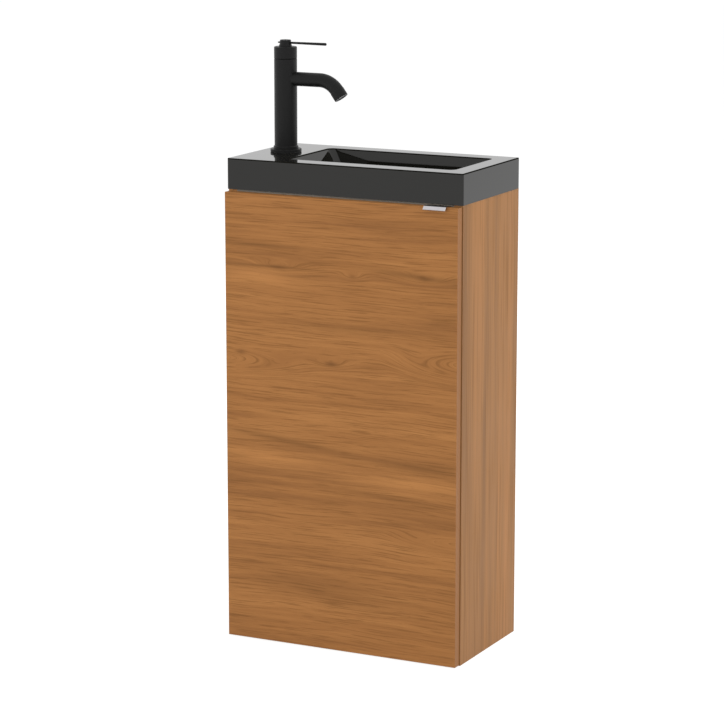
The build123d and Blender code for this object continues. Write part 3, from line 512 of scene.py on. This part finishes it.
@dataclass(frozen=True)
class BoardDecor:
    """Satin wood decor on a faced board, with banded edges.

    Each shade below is a share of a colour of the decor, above 1 where it is lighter. Each mask is
    the two values between which a layer's noise rises from none to all of a mark.
    """

    name: str
    grain: Grain
    deep: Colour
    middle: Colour
    warm: Colour
    banding: Colour
    band_axis: str = "X"
    wave: float = 0.035
    fineness: float = 1.0
    contrast: float = 0.28
    reach: float = 1.0
    line_share: float = 0.58
    knots: Tuple[Knot, ...] = ()
    streaks: Tuple[Streak, ...] = ()
    seed: float = 0.0
    slant: float = 0.8
    whorl_mask: Tuple[float, float] = (1.5, 0.5)
    whorl_wobble: float = 0.5
    line_mask: Tuple[float, float] = (0.49, 0.33)
    line_shade: float = 0.58
    line_depth: float = 0.6
    line_matt: float = 0.22
    pale_mask: Tuple[float, float] = (0.56, 0.74)
    pale_shade: float = 1.22
    pale_share: float = 0.18
    streak_shade: float = 0.42
    streak_base: float = 0.45
    streak_grain: float = 1.1
    core_shade: float = 0.5
    pore_mask: Tuple[float, float] = (0.36, 0.24)
    pore_shade: float = 0.55
    pore_share: float = 0.30
    band_mask: Tuple[float, float] = (0.6, 0.9)
    band_shade: float = 0.86
    band_share: float = 0.35
    band_scales: Point = (900.0, 900.0, 7.0)
    wear_shade: float = 1.3
    wear_share: float = 0.14
    wear_width: float = 0.0009
    haze_scale: float = 9.0
    haze_matt: float = 0.16
    roughness: float = 0.46
    relief: float = 0.00025
    relief_share: float = 0.20
    specular: float = 0.12

    def figure(self, graph: Graph, along: Value, across: Value) -> Value:
        """Bend the figure's lines by slow waves and round the knots.

        Args:
            graph: The material's nodes.
            along: The place along the grain.
            across: The place across it.

        Returns:
            The height of the growth rings.
        """
        slow = SLOW_BEND.read(graph, along, across, self.seed) - 0.5
        rings = across + slow * self.wave
        for knot in self.knots:
            if knot.whorl:
                radius = knot.square(along, across).math("SQRT") + slow * self.whorl_wobble
                closed = radius * knot.height + knot.across
                rings = rings + radius.step(*self.whorl_mask) * (closed - rings)
            else:
                rings = rings + knot.hill(along, across) * knot.lift
        return rings

    def edging(self, graph: Graph) -> bpy.types.NodeSocket:
        """Colour the banding, whose fine lines stand upright.

        Args:
            graph: The material's nodes.

        Returns:
            The banding's colour.
        """
        thin = graph.threads(self.band_scales).step(0.35, 0.65) * self.band_share
        return graph.blend(thin, self.banding, scaled(self.banding, self.band_shade))

    def build(self) -> bpy.types.Material:
        """Make the material.

        Returns:
            The material.
        """
        graph = Graph(bpy.data.materials.new(self.name))
        along_axis, across_axis = self.grain.value
        side_axis = "XYZ".replace(along_axis, "").replace(across_axis, "")
        along = graph.place(along_axis)
        across = graph.place(across_axis) + graph.place(side_axis) * self.slant
        rings = self.figure(graph, along, across)
        fine = rings * self.fineness
        run = along * (1.0 / self.reach)
        broad = BROAD_BANDS.read(graph, run, rings, self.seed)
        streak = GROWTH_STREAKS.read(graph, run, fine, self.seed)
        line = FINE_LINES.read(graph, run, fine, self.seed)
        pore = OPEN_PORES.read(graph, run, rings, self.seed)
        shade = (broad * 0.5 + streak * 0.5).step(0.5 - self.contrast, 0.5 + self.contrast)
        colour = graph.ramp(shade, [(0.0, self.deep), (0.5, self.middle), (1.0, self.warm)])
        pale = scaled(self.warm, self.pale_shade)
        lines = line.step(*self.line_mask) * self.line_share
        colour = graph.blend(lines, colour, scaled(self.middle, self.line_shade))
        colour = graph.blend(line.step(*self.pale_mask) * self.pale_share, colour, pale)
        for mark in self.streaks:
            hill = mark.hill(along, across - (along - mark.along) * mark.slope)
            grain = self.streak_base + streak * self.streak_grain
            share = hill * grain * abs(mark.share)
            mark_colour = scaled(self.middle, self.streak_shade) if mark.share > 0 else pale
            colour = graph.blend(share, colour, mark_colour)
        for knot in self.knots:
            if knot.dark:
                share = knot.core().hill(along, across) * knot.dark
                colour = graph.blend(share, colour, scaled(self.deep, self.core_shade))
        pores = pore.step(*self.pore_mask) * self.pore_share
        colour = graph.blend(pores, colour, scaled(self.deep, self.pore_shade))
        band = graph.facing(self.band_axis).step(*self.band_mask)
        colour = graph.blend(band, colour, self.edging(graph))
        wear = graph.edges(self.wear_width) * self.wear_share
        colour = graph.blend(wear, colour, scaled(self.warm, self.wear_shade))
        haze = graph.speckle(self.haze_scale, 3.0) - 0.5
        roughness = self.roughness + lines * self.line_matt + haze * self.haze_matt
        height = 1.0 - lines * self.line_depth - pores
        normal = graph.bump(height, self.relief_share, self.relief)
        return graph.close(Base_Color=colour, Roughness=roughness, Normal=normal,
                           Specular_IOR_Level=self.specular)


@dataclass(frozen=True)
class CastGloss:
    """Gloss black cast mineral: a clear coat over deep black, with a painted dark line where the
    coat is left off the fillets of the top edges.
    """

    name: str
    base: Colour
    dust_grey: Colour
    rim_height: float = 0.7624
    rim_fade: float = 0.0004
    rim_share: float = 0.95
    flow_scale: float = 6.0
    flow_share: float = 0.35
    flow_shade: float = 1.35
    flow_depth: float = 0.7
    grit_scale: float = 2600.0
    grit_depth: float = 0.012
    smear_scale: float = 28.0
    smear_matt: float = 0.15
    dust_share: float = 0.05
    dust_matt: float = 0.6
    roughness: float = 0.30
    relief: float = 0.0006
    relief_share: float = 0.12
    coat_roughness: float = 0.04
    coat_ior: float = 1.47

    def build(self) -> bpy.types.Material:
        """Make the material.

        Returns:
            The material.
        """
        graph = Graph(bpy.data.materials.new(self.name))
        flow = graph.speckle(self.flow_scale, 4.0, 0.6)
        grit = graph.speckle(self.grit_scale, 1.0)
        smear = graph.speckle(self.smear_scale, 4.0, 0.65)
        up = graph.place("NZ")
        dust = grit.step(0.60, 0.78) * up.step(0.75, 0.98) * self.dust_share
        cloud = flow.step(0.3, 0.7) * self.flow_share
        colour = graph.blend(cloud, self.base, scaled(self.base, self.flow_shade))
        colour = graph.blend(dust, colour, self.dust_grey)
        # Painted dark line: on the fillets of the top edges the coat is left off, and with no
        # specular there they show dark instead of reflecting.
        top = graph.place("Z").step(self.rim_height - self.rim_fade, self.rim_height)
        painted_dark_rim_mask = top * up.step(0.999, 0.985)
        smears = smear.step(0.45, 0.75) * self.smear_matt
        roughness = self.roughness + smears + dust * self.dust_matt
        height = flow * self.flow_depth + grit * self.grit_depth
        normal = graph.bump(height, self.relief_share, self.relief)
        return graph.close(Base_Color=colour, Roughness=roughness, Normal=normal,
                           Coat_Weight=1.0 - painted_dark_rim_mask * self.rim_share,
                           Coat_Roughness=self.coat_roughness, Coat_IOR=self.coat_ior,
                           Specular_IOR_Level=0.0)


@dataclass(frozen=True)
class PowderCoat:
    """Matt black coating with a fine orange peel and rubbed edges."""

    name: str
    base: Colour
    rubbed: Colour
    peel_scale: float = 900.0
    cloud_scale: float = 22.0
    wear_share: float = 0.45
    wear_width: float = 0.0007
    roughness: float = 0.42
    relief: float = 0.00012

    def build(self) -> bpy.types.Material:
        """Make the material.

        Returns:
            The material.
        """
        graph = Graph(bpy.data.materials.new(self.name))
        peel = graph.speckle(self.peel_scale, 2.0, 0.6)
        cloud = graph.speckle(self.cloud_scale, 4.0, 0.6)
        colour = graph.blend(cloud.step(0.35, 0.70) * 0.5, self.base, scaled(self.base, 1.3))
        wear = graph.edges(self.wear_width) * cloud.step(0.35, 0.65)
        colour = graph.blend(wear * self.wear_share, colour, self.rubbed)
        roughness = self.roughness + (cloud - 0.5) * 0.14 - wear * 0.12
        normal = graph.bump(peel, 0.25, self.relief)
        return graph.close(Base_Color=colour, Roughness=roughness, Normal=normal,
                           Specular_IOR_Level=0.20)


@dataclass(frozen=True)
class Plated:
    """Bright plated or polished metal with fine scratches along one axis."""

    name: str
    base: Colour
    tint: Colour
    roughness: float
    along: str = "Z"
    scratch: float = 0.25
    scratch_scale: float = 900.0
    scratch_run: float = 14.0
    smear_scale: float = 60.0
    wear_share: float = 0.4
    wear_width: float = 0.0005
    relief: float = 0.00004

    def build(self) -> bpy.types.Material:
        """Make the material.

        Returns:
            The material.
        """
        graph = Graph(bpy.data.materials.new(self.name))
        scales = tuple(self.scratch_run if axis == self.along else self.scratch_scale
                       for axis in "XYZ")
        hair = graph.threads(scales, 3.0, 0.6)
        smear = graph.speckle(self.smear_scale, 3.0, 0.6)
        colour = graph.blend(smear.step(0.4, 0.75) * 0.5, self.base, self.tint)
        wear = graph.edges(self.wear_width) * self.wear_share
        colour = graph.blend(wear, colour, scaled(self.base, 1.12))
        scratches = hair.step(0.5, 0.8) * self.scratch * 0.3
        roughness = self.roughness + scratches + smear.step(0.5, 0.8) * 0.05
        normal = graph.bump(hair * 0.35, self.scratch, self.relief)
        return graph.close(Base_Color=colour, Roughness=roughness, Metallic=1.0, Normal=normal)


@dataclass(frozen=True)
class Moulded:
    """Moulded plastic or rubber: faint flow lines, fine grain and scuffs."""

    name: str
    base: Colour
    scuff: Colour
    roughness: float
    grain_scale: float = 700.0
    flow_scale: float = 18.0
    wear_share: float = 0.4
    wear_width: float = 0.0006
    relief: float = 0.0001

    def build(self) -> bpy.types.Material:
        """Make the material.

        Returns:
            The material.
        """
        graph = Graph(bpy.data.materials.new(self.name))
        grain = graph.speckle(self.grain_scale, 3.0, 0.6)
        flow = graph.speckle(self.flow_scale, 4.0, 0.55)
        colour = graph.blend(flow.step(0.35, 0.75) * 0.35, self.base, self.scuff)
        colour = graph.blend(graph.edges(self.wear_width) * self.wear_share, colour, self.scuff)
        roughness = self.roughness + (flow - 0.5) * 0.14 + (grain - 0.5) * 0.08
        normal = graph.bump(grain, 0.2, self.relief)
        return graph.close(Base_Color=colour, Roughness=roughness, Normal=normal)


@dataclass(frozen=True)
class RawWood:
    """Unfinished turned hardwood with end grain."""

    name: str
    base: Colour
    late: Colour
    fibre_scales: Point = (30.0, 700.0, 700.0)
    end_share: float = 0.5
    relief: float = 0.0002

    def build(self) -> bpy.types.Material:
        """Make the material.

        Returns:
            The material.
        """
        graph = Graph(bpy.data.materials.new(self.name))
        fibre = graph.threads(self.fibre_scales, 3.0, 0.6)
        colour = graph.blend(fibre.step(0.35, 0.7), self.base, self.late)
        ends = graph.facing("X").step(0.7, 0.95) * self.end_share
        colour = graph.blend(ends, colour, self.late)
        normal = graph.bump(fibre, 0.35, self.relief)
        return graph.close(Base_Color=colour, Roughness=0.68 + fibre * 0.15, Normal=normal)


@dataclass(frozen=True)
class PressedBoard:
    """Thin pressed fibre board with a printed pale face."""

    name: str
    face: Colour
    fibre: Colour
    thread_scale: float = 420.0
    cloud_scale: float = 7.0
    raw_share: float = 0.85
    relief: float = 0.0002

    def build(self) -> bpy.types.Material:
        """Make the material.

        Returns:
            The material.
        """
        graph = Graph(bpy.data.materials.new(self.name))
        threads = graph.speckle(self.thread_scale, 5.0, 0.7)
        cloud = graph.speckle(self.cloud_scale, 3.0)
        raw = 1.0 - graph.facing("Y").step(0.5, 0.9)
        colour = graph.blend(threads.step(0.4, 0.75) * 0.3, self.face, self.fibre)
        colour = graph.blend(cloud.step(0.35, 0.7) * 0.2, colour, scaled(self.face, 0.8))
        colour = graph.blend(raw * self.raw_share, colour, self.fibre)
        normal = graph.bump(threads, 0.3, self.relief)
        return graph.close(Base_Color=colour, Roughness=0.66 + threads * 0.2, Normal=normal)


# Places on the door's front and their reach, in metres: along is X, and across is Z less 0.0952,
# because the front lies at Y = -0.119 and the slant adds 0.8 of Y.
DOOR_KNOTS = (
    Knot(-0.014, 0.363, 0.034, 0.010, lift=0.013, dark=0.60),
    Knot(-0.172, 0.368, 0.030, 0.010, lift=0.012, dark=0.50),
    Knot(-0.205, 0.357, 0.132, 0.023, whorl=True),
    Knot(0.210, 0.381, 0.098, 0.026, whorl=True),
    Knot(0.205, 0.102, 0.088, 0.012, whorl=True),
    Knot(0.023, 0.502, 0.020, 0.007, lift=0.010, dark=0.35),
    Knot(0.145, 0.507, 0.040, 0.008, lift=0.012, dark=0.45),
    Knot(-0.105, 0.507, 0.050, 0.010, lift=0.014, dark=0.40),
)
DOOR_STREAKS = (
    Streak(-0.145, 0.539, 0.070, 0.0030, 0.55),
    Streak(-0.150, 0.492, 0.070, 0.0120, -0.65),
    Streak(-0.130, 0.507, 0.085, 0.0022, 0.55),
    Streak(0.130, 0.510, 0.075, 0.0050, 0.50, -0.07),
    Streak(-0.080, 0.232, 0.120, 0.0060, 0.45, -0.10),
    Streak(0.140, 0.214, 0.070, 0.0070, 0.45, -0.05),
    Streak(0.120, 0.186, 0.100, 0.0120, -0.55),
    Streak(-0.120, 0.200, 0.090, 0.0140, -0.45, -0.05),
    Streak(0.080, 0.162, 0.080, 0.0045, 0.40, -0.06),
    Streak(-0.020, 0.000, 0.130, 0.0200, 0.26, -0.06),
    Streak(0.020, 0.420, 0.120, 0.0080, 0.22, 0.03),
)


class Finish(Enum):
    """Every finish of the unit, by the slot that names it in the record."""

    wood_door = BoardDecor(
        "door_decor", Grain.LEVEL, deep=tone(139, 93, 54), middle=tone(166, 113, 65),
        warm=tone(184, 128, 75), banding=tone(168, 118, 77), wave=0.024, fineness=1.35,
        contrast=0.31, line_share=0.62, knots=DOOR_KNOTS, streaks=DOOR_STREAKS, seed=1.7)
    wood_side = BoardDecor(
        "side_decor", Grain.UPRIGHT, deep=tone(144, 104, 68), middle=tone(173, 124, 78),
        warm=tone(192, 135, 84), banding=tone(150, 104, 68), band_axis="Z", wave=0.010,
        fineness=0.45, contrast=0.23, reach=3.6, line_share=0.34, seed=5.2)
    wood_inner = BoardDecor(
        "inner_decor", Grain.FLAT, deep=tone(136, 95, 62), middle=tone(160, 112, 74),
        warm=tone(178, 126, 82), banding=tone(150, 104, 68), band_axis="Z", wave=0.03,
        reach=1.5, line_share=0.5, seed=9.1)
    grey_rail = BoardDecor(
        "rail_decor", Grain.LEVEL, deep=tone(118, 112, 104), middle=tone(132, 126, 117),
        warm=tone(144, 138, 128), banding=tone(120, 100, 80), wave=0.02, contrast=0.30,
        reach=2.0, line_share=0.5, seed=2.3)
    back_board = PressedBoard("back_board_face", tone(214, 210, 202), tone(150, 124, 92))
    dowel_wood = RawWood("dowel_beech", tone(206, 172, 126), tone(176, 138, 92))
    steel_fittings = Plated("zinc_plate", tone(196, 197, 196), tone(180, 180, 170),
                            roughness=0.26, scratch=0.4)
    zinc_fittings = Plated("cast_zinc", tone(176, 176, 174), tone(150, 150, 146),
                           roughness=0.40, along="Y", scratch=0.6)
    hinge_steel = Plated("nickel_plate", tone(204, 202, 196), tone(184, 180, 172),
                         roughness=0.20, along="Y", scratch=0.35)
    chrome_pull = Plated("pull_chrome", tone(200, 197, 200), tone(180, 176, 178),
                         roughness=0.16, along="X", scratch=0.3)
    chrome_waste = Plated("waste_chrome", tone(236, 237, 240), tone(220, 223, 228),
                          roughness=0.08, scratch=0.2)
    brass_nut = Plated("turned_brass", tone(206, 168, 96), tone(184, 146, 78),
                       roughness=0.24, scratch=0.4)
    black_basin = CastGloss("basin_black", tone(19, 18, 14), tone(120, 120, 118))
    black_tap = PowderCoat("tap_black", tone(17, 17, 17), tone(60, 58, 56))
    rubber_seal = Moulded("seal_rubber", tone(34, 34, 34), tone(58, 58, 58), roughness=0.72)
    bumper_rubber = Moulded("bumper_soft", tone(206, 206, 202), tone(180, 180, 176),
                            roughness=0.50)
    trap_plastic = Moulded("trap_white", tone(226, 226, 222), tone(196, 194, 188),
                           roughness=0.30)
    aerator_plastic = Moulded("aerator_grey", tone(120, 120, 122), tone(90, 90, 92),
                              roughness=0.42)
    cartridge_plastic = Moulded("cartridge_ivory", tone(214, 208, 190), tone(180, 172, 150),
                                roughness=0.40)

    def material(self) -> bpy.types.Material:
        """Give the finish's material, made when it is first asked for."""
        made = bpy.data.materials.get(self.value.name)
        return made if made else self.value.build()


def on_arc(centre: Point, radius: float, angle: float, height: float) -> Vector:
    """Give a point round an upright axis.

    Args:
        centre: Any point of the axis.
        radius: Distance from it.
        angle: Turn in radians.
        height: Height of the point.

    Returns:
        The point.
    """
    east, north = radius * math.cos(angle), radius * math.sin(angle)
    return Vector((centre[0] + east, centre[1] + north, height))


def skin(name: str, rings: Sequence[Sequence[Vector]], closed: bool = False) -> bpy.types.Object:
    """Close a row of equal rings of points into one smooth mesh.

    Args:
        name: The piece's name.
        rings: The rings, each an outline of the section.
        closed: Whether the last ring joins the first, or else both ends get a cap.

    Returns:
        The piece.
    """
    net = bmesh.new()
    rows = [[net.verts.new(point) for point in ring] for ring in rings]
    joints = list(zip(rows, rows[1:] + rows[:1])) if closed else list(zip(rows, rows[1:]))
    for low, high in joints:
        for k in range(len(low)):
            n = (k + 1) % len(low)
            net.faces.new((low[k], low[n], high[n], high[k]))
    if not closed:
        net.faces.new(list(reversed(rows[0])))
        net.faces.new(rows[-1])
    bmesh.ops.recalc_face_normals(net, faces=net.faces)
    mesh = bpy.data.meshes.new(name)
    net.to_mesh(mesh)
    net.free()
    mesh.shade_smooth()
    piece = bpy.data.objects.new(name, mesh)
    bpy.context.scene.collection.objects.link(piece)
    return piece


@dataclass
class Assembly:
    """A group of pieces that is built and dressed together."""

    title: str
    nodes: Tuple[str, ...]

    def build(self) -> List[Tuple[bpy.types.Object, str]]:
        """Make the group's own fine pieces.

        Returns:
            Each new piece with the slot that it takes its finish from.
        """
        return []

    def dress(self) -> None:
        """Build the fine pieces, and give them and each CAD piece of the group their finish."""
        slots = {part["node"]: part["material_slot"] for part in frame["record"]["subparts"]}
        for name in self.nodes:
            finish = Finish[slots[name]]
            piece = frame["nodes"][name]
            for slot in piece.material_slots:
                slot.material = finish.material()
            if not piece.material_slots:
                piece.data.materials.append(finish.material())
            log.info("%s: %s wears %s", self.title, name, finish.value.name)
        for piece, slot in self.build():
            finish = Finish[slot]
            piece.data.materials.append(finish.material())
            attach(piece, "cabinet")
            log.info("%s: %s is built and wears %s", self.title, piece.name, finish.value.name)


@dataclass
class Cabinet(Assembly):
    """Carcass of faced boards, its shelf and fittings, and the sealant under the basin."""

    title: str = "cabinet"
    nodes: Tuple[str, ...] = (
        "left_side_panel", "right_side_panel", "bottom_panel", "back_panel", "front_rail",
        "rear_rail", "shelf", "shelf_pegs", "wood_dowels", "cam_bolts", "cam_locks",
        "door_bumpers")
    skirt: float = 0.014
    bead_width: float = 0.0018
    bead_height: float = 0.0032
    bead_shoulder: Tuple[float, float] = (0.70, 0.62)
    bead_corner: float = 0.004
    bead_steps: int = 6
    bead_ripple: float = 0.10

    def build(self) -> List[Tuple[bpy.types.Object, str]]:
        """Lay the bead of sealant inside the basin's skirt, on top of the boards.

        Returns:
            The bead with its slot.
        """
        low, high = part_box("basin")
        turn = self.bead_corner
        left, right = low[0] + self.skirt + turn, high[0] - self.skirt - turn
        front, back = low[1] + self.skirt + turn, high[1] - self.skirt - turn
        across, up = self.bead_shoulder
        rings = []
        middles = ((right, back), (left, back), (left, front), (right, front))
        for quarter, (x, y) in enumerate(middles):
            for k in range(self.bead_steps + 1):
                angle = math.radians(90.0 * quarter + 90.0 / self.bead_steps * k)
                ripple = 1.0 + self.bead_ripple * math.sin(3.0 * k + 2.0 * quarter)
                section = ((0.0, 0.0), (ripple, 0.0), (across, up), (0.0, ripple))
                rings.append([
                    on_arc((x, y, 0.0), turn - share * self.bead_width, angle,
                           low[2] + rise * self.bead_height)
                    for share, rise in section])
        return [(skin("sealant_bead", rings, closed=True), "bumper_rubber")]


@dataclass
class Door(Assembly):
    """The slab door with its finger pull."""

    title: str = "door"
    nodes: Tuple[str, ...] = ("door", "finger_pull", "finger_pull_screws")


@dataclass
class Hinges(Assembly):
    """Two concealed hinges."""

    title: str = "hinges"
    nodes: Tuple[str, ...] = (
        "hinge_cups", "hinge_cup_pins", "hinge_cup_screws", "hinge_links", "hinge_arms",
        "hinge_arm_pins", "hinge_plates", "hinge_plate_screws", "hinge_arm_screws")


@dataclass
class Basin(Assembly):
    """The one-piece basin."""

    title: str = "basin"
    nodes: Tuple[str, ...] = ("basin",)


@dataclass
class Threaded(Assembly):
    """A group with threaded bars.

    The foot and crest of a thread's ridge are shares of its pitch, and it rises over run_in steps.
    """

    steps: int = 20
    foot: float = 0.40
    crest: float = 0.06
    sink: float = 0.0001
    run_in: float = 6.0
    blunt: float = 0.05

    def thread(self, name: str, bar: str, low: float, high: float, pitch: float,
               depth: float) -> bpy.types.Object:
        """Wind the ridge of a thread round an upright bar.

        Args:
            name: The piece's name.
            bar: The CAD piece that gives the bar's axis.
            low: Height where the thread starts.
            high: Height where it ends.
            pitch: Rise of one turn.
            depth: How far the ridge stands out.

        Returns:
            The ridge.
        """
        centre, _ = self.round_of(bar)
        radius = self.radius_of(bar)
        count = max(2, int((high - low - pitch) / pitch * self.steps))
        rings = []
        for k in range(count + 1):
            angle = math.tau * k / self.steps
            height = low + pitch / 2 + pitch * k / self.steps
            rise = depth * min(1.0, k / self.run_in, (count - k) / self.run_in + self.blunt)
            section = ((-self.sink, -self.foot), (rise, -self.crest), (rise, self.crest),
                       (-self.sink, self.foot))
            rings.append([on_arc(centre, radius + out, angle, height + pitch * share)
                          for out, share in section])
        return skin(name, rings)

    def round_of(self, bar: str) -> Tuple[Point, float]:
        """Measure an upright round piece.

        Args:
            bar: The CAD piece.

        Returns:
            A point of its axis and half its width.
        """
        low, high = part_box(bar)
        centre = ((low[0] + high[0]) / 2, (low[1] + high[1]) / 2, 0.0)
        return centre, (high[0] - low[0]) / 2

    def radius_of(self, bar: str) -> float:
        """Give the radius that a bar's thread starts from, half its width."""
        return self.round_of(bar)[1]


@dataclass
class Waste(Threaded):
    """Push waste and bottle trap, with the waste's thread and the bottle's finger grips.

    The grips' section gives, for each of its points, a share of their width and of their depth.
    """

    title: str = "waste"
    nodes: Tuple[str, ...] = (
        "waste_body", "waste_plug", "waste_seal", "waste_backnut", "trap_inlet_washer",
        "trap_inlet_nut", "trap_body", "trap_outlet_nut", "trap_bottle", "trap_bottle_seal")
    tail_radius: float = 0.02095
    tail_pitch: float = 0.0023
    tail_depth: float = 0.0006
    grips: int = 20
    grip_width: float = 0.0024
    grip_depth: float = 0.0011
    grip_length: float = 0.016
    grip_inset: float = 0.010
    grip_slope: float = 0.002
    grip_root: float = 0.0003
    grip_section: Tuple[Tuple[float, float], ...] = (
        (-0.5, 0.0), (-0.32, 0.7), (0.0, 1.0), (0.32, 0.7), (0.5, 0.0))

    def radius_of(self, bar: str) -> float:
        """Give the tail's radius, because the waste's box is as wide as its flange."""
        return self.tail_radius

    def build(self) -> List[Tuple[bpy.types.Object, str]]:
        """Wind the thread between the two nuts and raise the grips round the bottle.

        Returns:
            The pieces with their slots.
        """
        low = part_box("trap_inlet_nut")[1][2]
        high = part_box("waste_backnut")[0][2]
        tail = self.thread("waste_tail_thread", "waste_body", low, high, self.tail_pitch,
                           self.tail_depth)
        return [(tail, "chrome_waste"), (self.bottle_grips(), "trap_plastic")]

    def bottle_grips(self) -> bpy.types.Object:
        """Raise upright grips round the trap's bottle, with a valley between each two.

        Returns:
            The ring of grips.
        """
        centre, radius = self.round_of("trap_bottle")
        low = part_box("trap_bottle")[0][2] + self.grip_inset
        high = low + self.grip_length
        inner = radius - self.grip_root
        rings = []
        for grip in range(self.grips):
            middle = math.tau * grip / self.grips
            for share, rise in self.grip_section:
                outer = radius + (rise * self.grip_depth if rise else -self.sink)
                angle = middle + share * self.grip_width / radius
                rings.append([
                    on_arc(centre, inner, angle, low),
                    on_arc(centre, outer, angle, low + self.grip_slope),
                    on_arc(centre, outer, angle, high - self.grip_slope),
                    on_arc(centre, inner, angle, high)])
        return skin("bottle_grips", rings, closed=True)


@dataclass
class Tap(Threaded):
    """Mixer tap with its fixing stud's thread."""

    title: str = "tap"
    nodes: Tuple[str, ...] = (
        "tap_seal", "tap_body", "tap_flange", "aerator_collar", "aerator_insert", "cartridge",
        "cartridge_nut", "tap_cap", "lever_hub", "lever_rod", "lever_grub_screw",
        "cartridge_stem", "tap_stud", "tap_washer", "tap_nut")
    stud_pitch: float = 0.00125
    stud_depth: float = 0.00035
    stud_end: float = 0.0005

    def build(self) -> List[Tuple[bpy.types.Object, str]]:
        """Wind the thread below the nut, down the stud's free end.

        Returns:
            The thread with its slot.
        """
        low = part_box("tap_stud")[0][2] + self.stud_end
        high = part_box("tap_nut")[0][2]
        thread = self.thread("stud_thread", "tap_stud", low, high, self.stud_pitch, self.stud_depth)
        return [(thread, "steel_fittings")]


@dataclass(frozen=True)
class Lamp:
    """A large soft square lamp that is turned to its target."""

    name: str
    place: Point
    target: Point
    size: float
    power: float

    def hang(self) -> None:
        """Hang the lamp, unseen in reflections."""
        lamp = bpy.data.lights.new(self.name, "AREA")
        lamp.shape = "SQUARE"
        lamp.size = self.size
        lamp.energy = self.power
        obj = bpy.data.objects.new(self.name, lamp)
        obj.location = self.place
        heading = Vector(self.target) - Vector(self.place)
        obj.rotation_euler = heading.to_track_quat("-Z", "Y").to_euler()
        obj.visible_glossy = False
        bpy.context.scene.collection.objects.link(obj)


@dataclass
class Studio:
    """Pale floor, soft lamps, white surroundings and the camera."""

    floor_size: float = 60.0
    floor_drop: float = 0.0004
    paper: Tuple[float, float] = (0.42, 0.44)
    floor_glow: float = 0.76
    fill: float = 0.62
    lens: float = 143.3
    sensor: float = 36.0
    far: float = 200.0
    camera_place: Point = (1.9709, -3.9734, 1.3551)
    yaw: float = 26.62
    pitch: float = 11.65
    lamps: Tuple[Lamp, ...] = (
        Lamp("key_lamp", (-1.6, -3.2, 1.1), (0.0, 0.0, 0.36), 2.2, 53.0),
        Lamp("side_lamp", (3.4, -0.9, 1.7), (0.0, 0.0, 0.45), 2.0, 46.0),
        Lamp("top_lamp", (0.4, 0.4, 3.6), (0.0, 0.0, 0.6), 1.8, 26.0),
        Lamp("back_lamp", (-0.8, 3.4, 2.0), (0.0, 0.0, 0.5), 2.2, 40.0),
    )

    def floor(self) -> None:
        """Lay the floor, which is white to the camera and keeps the unit's shadow."""
        half = self.floor_size / 2
        mesh = bpy.data.meshes.new("studio_floor")
        square = [(-half, -half, 0), (half, -half, 0), (half, half, 0), (-half, half, 0)]
        mesh.from_pydata(square, [], [(0, 1, 2, 3)])
        obj = bpy.data.objects.new("studio_floor", mesh)
        obj.location.z = -self.floor_drop
        bpy.context.scene.collection.objects.link(obj)
        graph = Graph(bpy.data.materials.new("floor_paper"))
        dark, light = ((grey, grey, grey) for grey in self.paper)
        paper = graph.blend(graph.speckle(3.0, 3.0).step(0.2, 0.8) * 0.3, dark, light)
        glow = {"Color": WHITE, "Strength": graph.seen() * self.floor_glow}
        matt = graph.node("ShaderNodeBsdfDiffuse", {}, {"Color": paper})
        shine = graph.node("ShaderNodeEmission", {}, glow)
        sum_inputs = {0: matt.outputs[0], 1: shine.outputs[0]}
        graph.end(graph.node("ShaderNodeAddShader", {}, sum_inputs))
        mesh.materials.append(graph.owner)

    def surroundings(self) -> None:
        """Set a soft even light, seen as white by the camera and in reflections."""
        world = bpy.data.worlds.new("studio_white")
        bpy.context.scene.world = world
        graph = Graph(world)
        soft = graph.node("ShaderNodeBackground", {}, {"Color": WHITE, "Strength": self.fill})
        full = graph.node("ShaderNodeBackground", {}, {"Color": WHITE, "Strength": 1.0})
        shares = {0: graph.seen(), 1: soft.outputs[0], 2: full.outputs[0]}
        graph.end(graph.node("ShaderNodeMixShader", {}, shares))

    def camera(self) -> None:
        """Set the camera at the photograph's place."""
        lens = bpy.data.cameras.new("view")
        lens.lens = self.lens
        lens.sensor_width = self.sensor
        lens.sensor_fit = "HORIZONTAL"
        lens.clip_end = self.far
        obj = bpy.data.objects.new("view", lens)
        obj.location = self.camera_place
        tilt = math.radians(90.0 - self.pitch)
        obj.rotation_euler = Euler((tilt, 0.0, math.radians(self.yaw)), "XYZ")
        bpy.context.scene.collection.objects.link(obj)
        bpy.context.scene.camera = obj

    def build(self) -> None:
        """Make the whole studio."""
        self.floor()
        self.surroundings()
        for lamp in self.lamps:
            lamp.hang()
        self.camera()
        bpy.context.scene.view_settings.view_transform = "Standard"


def main() -> None:
    """Dress every group and build the studio."""
    logging.basicConfig(level=logging.INFO, format="%(message)s")
    for group in (Cabinet(), Door(), Hinges(), Basin(), Waste(), Tap()):
        group.dress()
        log.info("%s is dressed", group.title)
    Studio().build()


if __name__ == "__main__":
    main()
